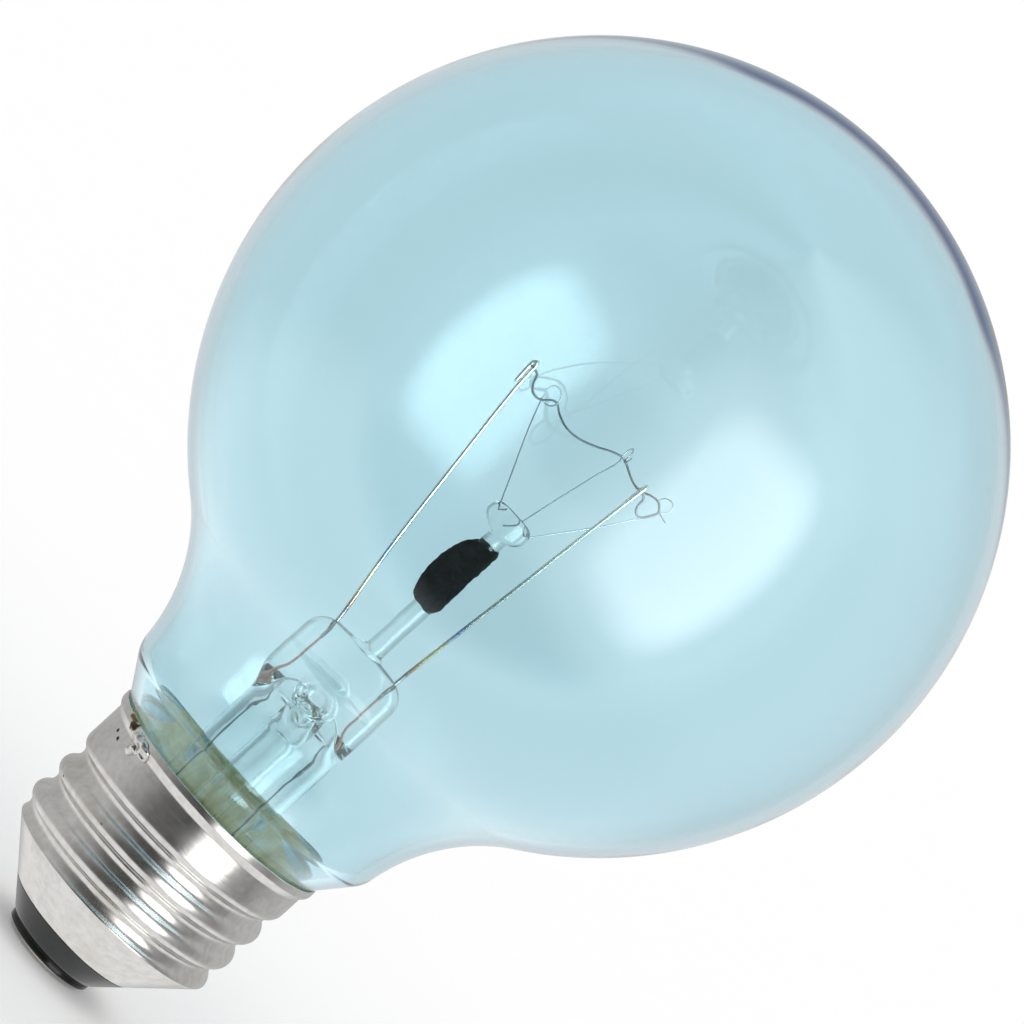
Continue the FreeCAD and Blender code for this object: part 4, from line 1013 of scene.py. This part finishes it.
# filament: a fine coil over the hooks and the loops, with short tails
filament = {
    "route": (
        (-10.2, -1.75, 75.05), (-10.02, -1.3, 75.1), (-9.83, -0.85, 75.02), (-9.3, 0.1, 74.8),
        (-8.88, 1.6, 73.8), (-8.44, 2.8, 73.22), (-7.84, 4.2, 72.99), (-7.28, 5.5, 73.12),
        (-6.84, 6.0, 73.5), (-6.5, 6.25, 73.86), (-5.95, 6.45, 73.95), (-5.04, 6.8, 73.42),
        (-3.51, 7.6, 72.95), (-1.86, 8.2, 73.12), (-0.18, 8.7, 73.8), (1.26, 9.0, 74.6), (2.4, 9.25, 75.0),
        (3.06, 9.0, 74.9), (3.66, 8.4, 74.66), (4.6, 7.2, 74.32), (5.62, 6.0, 74.18), (6.34, 5.2, 74.4),
        (7.19, 4.6, 74.8), (8.05, 3.95, 74.9), (8.55, 3.5, 74.55), (8.76, 3.0, 74.14), (8.4, 1.6, 73.4),
        (7.84, 0.2, 72.8), (7.33, -1.2, 72.81), (6.92, -2.6, 73.19), (6.7, -4.0, 73.86), (6.6, -5.4, 74.55),
        (6.2, -6.45, 74.85), (5.86, -6.8, 75.0), (5.5, -7.3, 74.95), (5.3, -7.5, 74.85)),
    "wire": 0.034, "coil": 0.095, "pitch": 0.1, "perTurn": 9, "sides": 5,
}


def buildFilament(shape):
    line = evenLine(smoothLine(filament["route"], 14), filament["pitch"] / filament["perTurn"])
    coil = []
    for number, (place, side, other) in enumerate(crossFrames(line)):
        turn = 2 * math.pi * number / filament["perTurn"]
        coil.append(place + (side * math.cos(turn) + other * math.sin(turn)) * filament["coil"])
    sweepWire(shape, coil, lambda number: filament["wire"], filament["sides"])


meshPiece("filament_coil", buildFilament, "wireMetal", "filament_dark", "filament")
print("inner parts ready")


# floor, light and surroundings: box lights as the metal and as the glass shows them, the light below,
# how much stronger the box is on the far wall, and the light from above through the glass
studio = {
    "floorRadius": 3.0, "floorColour": 0.90, "floorGrain": 60.0, "floorFleck": 0.994, "floorGlow": 0.1,
    "worldLight": 1.0, "metalBox": 2.3, "glassBox": 5.6, "farBox": 2.6, "frameLight": 2.1,
    "metalBelow": 0.86, "glassLow": 1.35, "glassBelow": 0.12, "throughAbove": 0.6, "bounces": 24,
    "mirrorBounces": 12,
}

# brightness of the studio round the bulb, by angle from the camera's side towards +X, in degrees:
# as the metal and the glass show it, as bent rays find it through the glass, and after a turn inside it
roundStudio = {
    "metal": ((-180, 0.5), (-130, 0.46), (-78, 0.54), (-50, 0.34), (-26, 0.12), (4, 0.06), (14, 0.12),
              (20, 0.4), (58, 0.4), (86, 0.26), (108, 0.46), (140, 0.52), (180, 0.5)),
    "glass": ((-180, 0.78), (-145, 0.8), (-115, 0.72), (-84, 0.5), (-40, 0.5), (-10, 0.45), (20, 0.9),
              (60, 1.6), (100, 1.6), (140, 0.85), (180, 0.78)),
    "through": ((-180, 1.0), (-162, 1.0), (-140, 0.55), (-118, 0.55), (-100, 1.0), (-80, 1.0), (-60, 0.55),
                (-35, 0.55), (-15, 1.0), (15, 1.0), (35, 0.55), (60, 0.55), (80, 1.0), (100, 1.0),
                (118, 0.55), (140, 0.55), (162, 1.0), (180, 1.0)),
    "turned": ((-180, 1.3), (-150, 0.5), (-110, 0.5), (-75, 1.7), (-40, 0.3), (0, 0.4), (25, 2.0),
               (60, 2.0), (85, 0.4), (120, 0.6), (150, 1.5), (180, 1.3)),
}
# a bluish screen behind the bulb: half width, edge, lowest and highest angle in degrees
darkScreen = {"halfWidth": 12.0, "edge": 5.0, "low": 2.0, "full": 7.0, "top": 23.0, "end": 29.0,
              "lowColour": (0.50, 0.50, 0.52), "highColour": (0.20, 0.19, 0.29)}
# dim round of the camera as the globe shows it, and the softbox beside it: the way to its middle,
# its upright and its level axis, and its half sizes for a distance of 1
cameraRound = {"way": (0.0, -0.997, 0.080), "radius": 18.0, "edge": 4.0, "light": 0.12}
softbox = {"way": (0.629, -0.768, 0.119), "upright": (0.08, 0.217, 0.974), "level": (0.779, 0.620, -0.098),
           "halfTall": 0.58, "halfWide": 0.36, "edge": 0.30, "dimSide": 0.8, "corner": 4.0,
           "frameTall": 0.86, "frameWide": 0.62, "frameEdge": 0.42}


def grey(value):
    return (value, value, value)


def makeFloor():
    mesh = bpy.data.meshes.new("floor")
    shape = bmesh.new()
    bmesh.ops.create_circle(shape, cap_ends=True, segments=128, radius=studio["floorRadius"])
    shape.to_mesh(mesh)
    shape.free()
    item, tree, shader = newMaterial("paleFloor")
    pale, fleck = grey(studio["floorColour"]), grey(studio["floorColour"] * studio["floorFleck"])
    tone = colourRamp(tree, speckle(tree, studio["floorGrain"], 3.0), ((0.3, fleck), (0.7, pale)))
    plug(tree, shader, {"Base Color": tone, "Roughness": 0.8, "Specular IOR Level": 0.0,
                        "Emission Color": (1, 1, 1, 1), "Emission Strength": studio["floorGlow"]})
    item.cycles.emission_sampling = "NONE"
    mesh.materials.append(item)
    floor = bpy.data.objects.new("floor", mesh)
    floor.visible_glossy = False  # mirrored and bent rays see the studio instead
    floor.visible_transmission = False
    bpy.context.scene.collection.objects.link(floor)


# white to the eye and through the glass; mirrored rays see a studio with darker sides
def makeWorld():
    world = bpy.data.worlds.new("studioWorld")
    bpy.context.scene.world = world
    world.use_nodes = True
    world.cycles.sampling_method = "NONE"
    tree = world.node_tree

    def count(operation, first, second=None):
        sockets = {0: first} if second is None else {0: first, 1: second}
        return addNode(tree, "Math", sockets, operation=operation).outputs[0]

    def product(*values):
        result = values[0]
        for value in values[1:]:
            result = count("MULTIPLY", result, value)
        return result

    def toward(aim):
        return addNode(tree, "VectorMath", {0: way, 1: aim}, operation="DOT_PRODUCT").outputs["Value"]

    def easeAngle(value, low, high):
        return ease(tree, value, math.radians(low), math.radians(high))

    def around(limit, reach, edge):
        return ease(tree, reach, limit + edge, limit - edge)

    way = addNode(tree, "TexCoord").outputs["Generated"]
    across, deep, up = addNode(tree, "SeparateXYZ", {"Vector": way}).outputs
    front = count("MULTIPLY", deep, -1.0)
    turn = spread(tree, count("ARCTAN2", across, front), -math.pi, math.pi)
    metal, glass, through, turned = (
        colourRamp(tree, turn, tuple((degrees / 360 + 0.5, grey(light)) for degrees, light in stops))
        for stops in roundStudio.values())
    # below: light for the metal, dark in front for the glass
    rise = count("ARCSINE", up)
    low = easeAngle(rise, -18, -38)
    metal = blend(tree, low, metal, grey(studio["metalBelow"]))
    glass = blend(tree, low, glass, grey(studio["glassLow"]))
    glass = blend(tree, product(low, ease(tree, front, 0.3, 0.55)), glass, grey(studio["glassBelow"]))
    # the screen behind
    s = darkScreen
    aside = count("ABSOLUTE", count("ARCTAN2", across, deep))
    inside = product(easeAngle(aside, s["halfWidth"] + s["edge"], s["halfWidth"]),
                     easeAngle(rise, s["low"], s["full"]), easeAngle(rise, s["end"], s["top"]))
    tone = blend(tree, easeAngle(rise, s["full"], s["top"]), s["lowColour"], s["highColour"])
    glass = blend(tree, inside, glass, tone)
    # the camera's dim round
    s = cameraRound
    near = easeAngle(count("ARCCOSINE", toward(s["way"])), s["radius"] + s["edge"], s["radius"] - s["edge"])
    glass = blend(tree, near, glass, grey(s["light"]))
    # the softbox and the dimmer cloth round it
    s = softbox
    facing = toward(s["way"])
    ahead = spread(tree, facing, 0.05, 0.1)
    level = count("DIVIDE", toward(s["level"]), facing)
    wide = count("ABSOLUTE", level)
    tall = count("ABSOLUTE", count("DIVIDE", toward(s["upright"]), facing))
    frameIn = product(ahead, around(s["frameWide"], wide, s["frameEdge"]),
                      around(s["frameTall"], tall, s["frameEdge"]))
    glass = blend(tree, frameIn, glass, grey(studio["frameLight"]))
    reach = count("ADD", count("POWER", count("DIVIDE", wide, s["halfWide"]), s["corner"]),
                  count("POWER", count("DIVIDE", tall, s["halfTall"]), s["corner"]))
    boxIn = product(ahead, around(1, count("POWER", reach, 1 / s["corner"]), s["edge"]))
    metal = blend(tree, boxIn, metal, grey(studio["metalBox"]))
    path = addNode(tree, "LightPath").outputs
    side = ease(tree, level, -s["halfWide"], s["halfWide"], s["dimSide"], 1.0)
    far = spread(tree, path["Transmission Depth"], 3.0, 3.5, 1.0, studio["farBox"])
    glowing = addNode(tree, "VectorMath", {0: grey(studio["glassBox"]), "Scale": product(side, far)},
                      operation="SCALE")
    glass = blend(tree, boxIn, glass, glowing.outputs["Vector"])
    # which of them a ray sees: rough metal outside the glass, the glass itself, or glass within glass
    outside = count("LESS_THAN", path["Transmission Depth"], 0.5)
    dull = count("LESS_THAN", path["Is Singular Ray"], 0.5)
    glass = blend(tree, count("GREATER_THAN", path["Transmission Depth"], 5.5), glass, turned)
    mirrored = blend(tree, product(outside, dull), glass, metal)
    through = blend(tree, easeAngle(rise, 28, 50), through, grey(studio["throughAbove"]))
    through = blend(tree, low, through, grey(1.0))
    clear = count("LESS_THAN", path["Diffuse Depth"], 0.5)
    bent = product(count("GREATER_THAN", path["Transmission Depth"], 3.5), clear)
    straight = blend(tree, bent, grey(1.0), through)
    seen = product(count("GREATER_THAN", path["Glossy Depth"], 0.5), clear)
    plug(tree, tree.nodes["Background"], {"Color": blend(tree, seen, straight, mirrored),
                                          "Strength": studio["worldLight"]})


makeFloor()
makeWorld()
scene = bpy.context.scene
scene.view_settings.view_transform = "Standard"
scene.cycles.max_bounces = studio["bounces"]
scene.cycles.transmission_bounces = studio["bounces"]
scene.cycles.glossy_bounces = studio["mirrorBounces"]
print("studio ready")
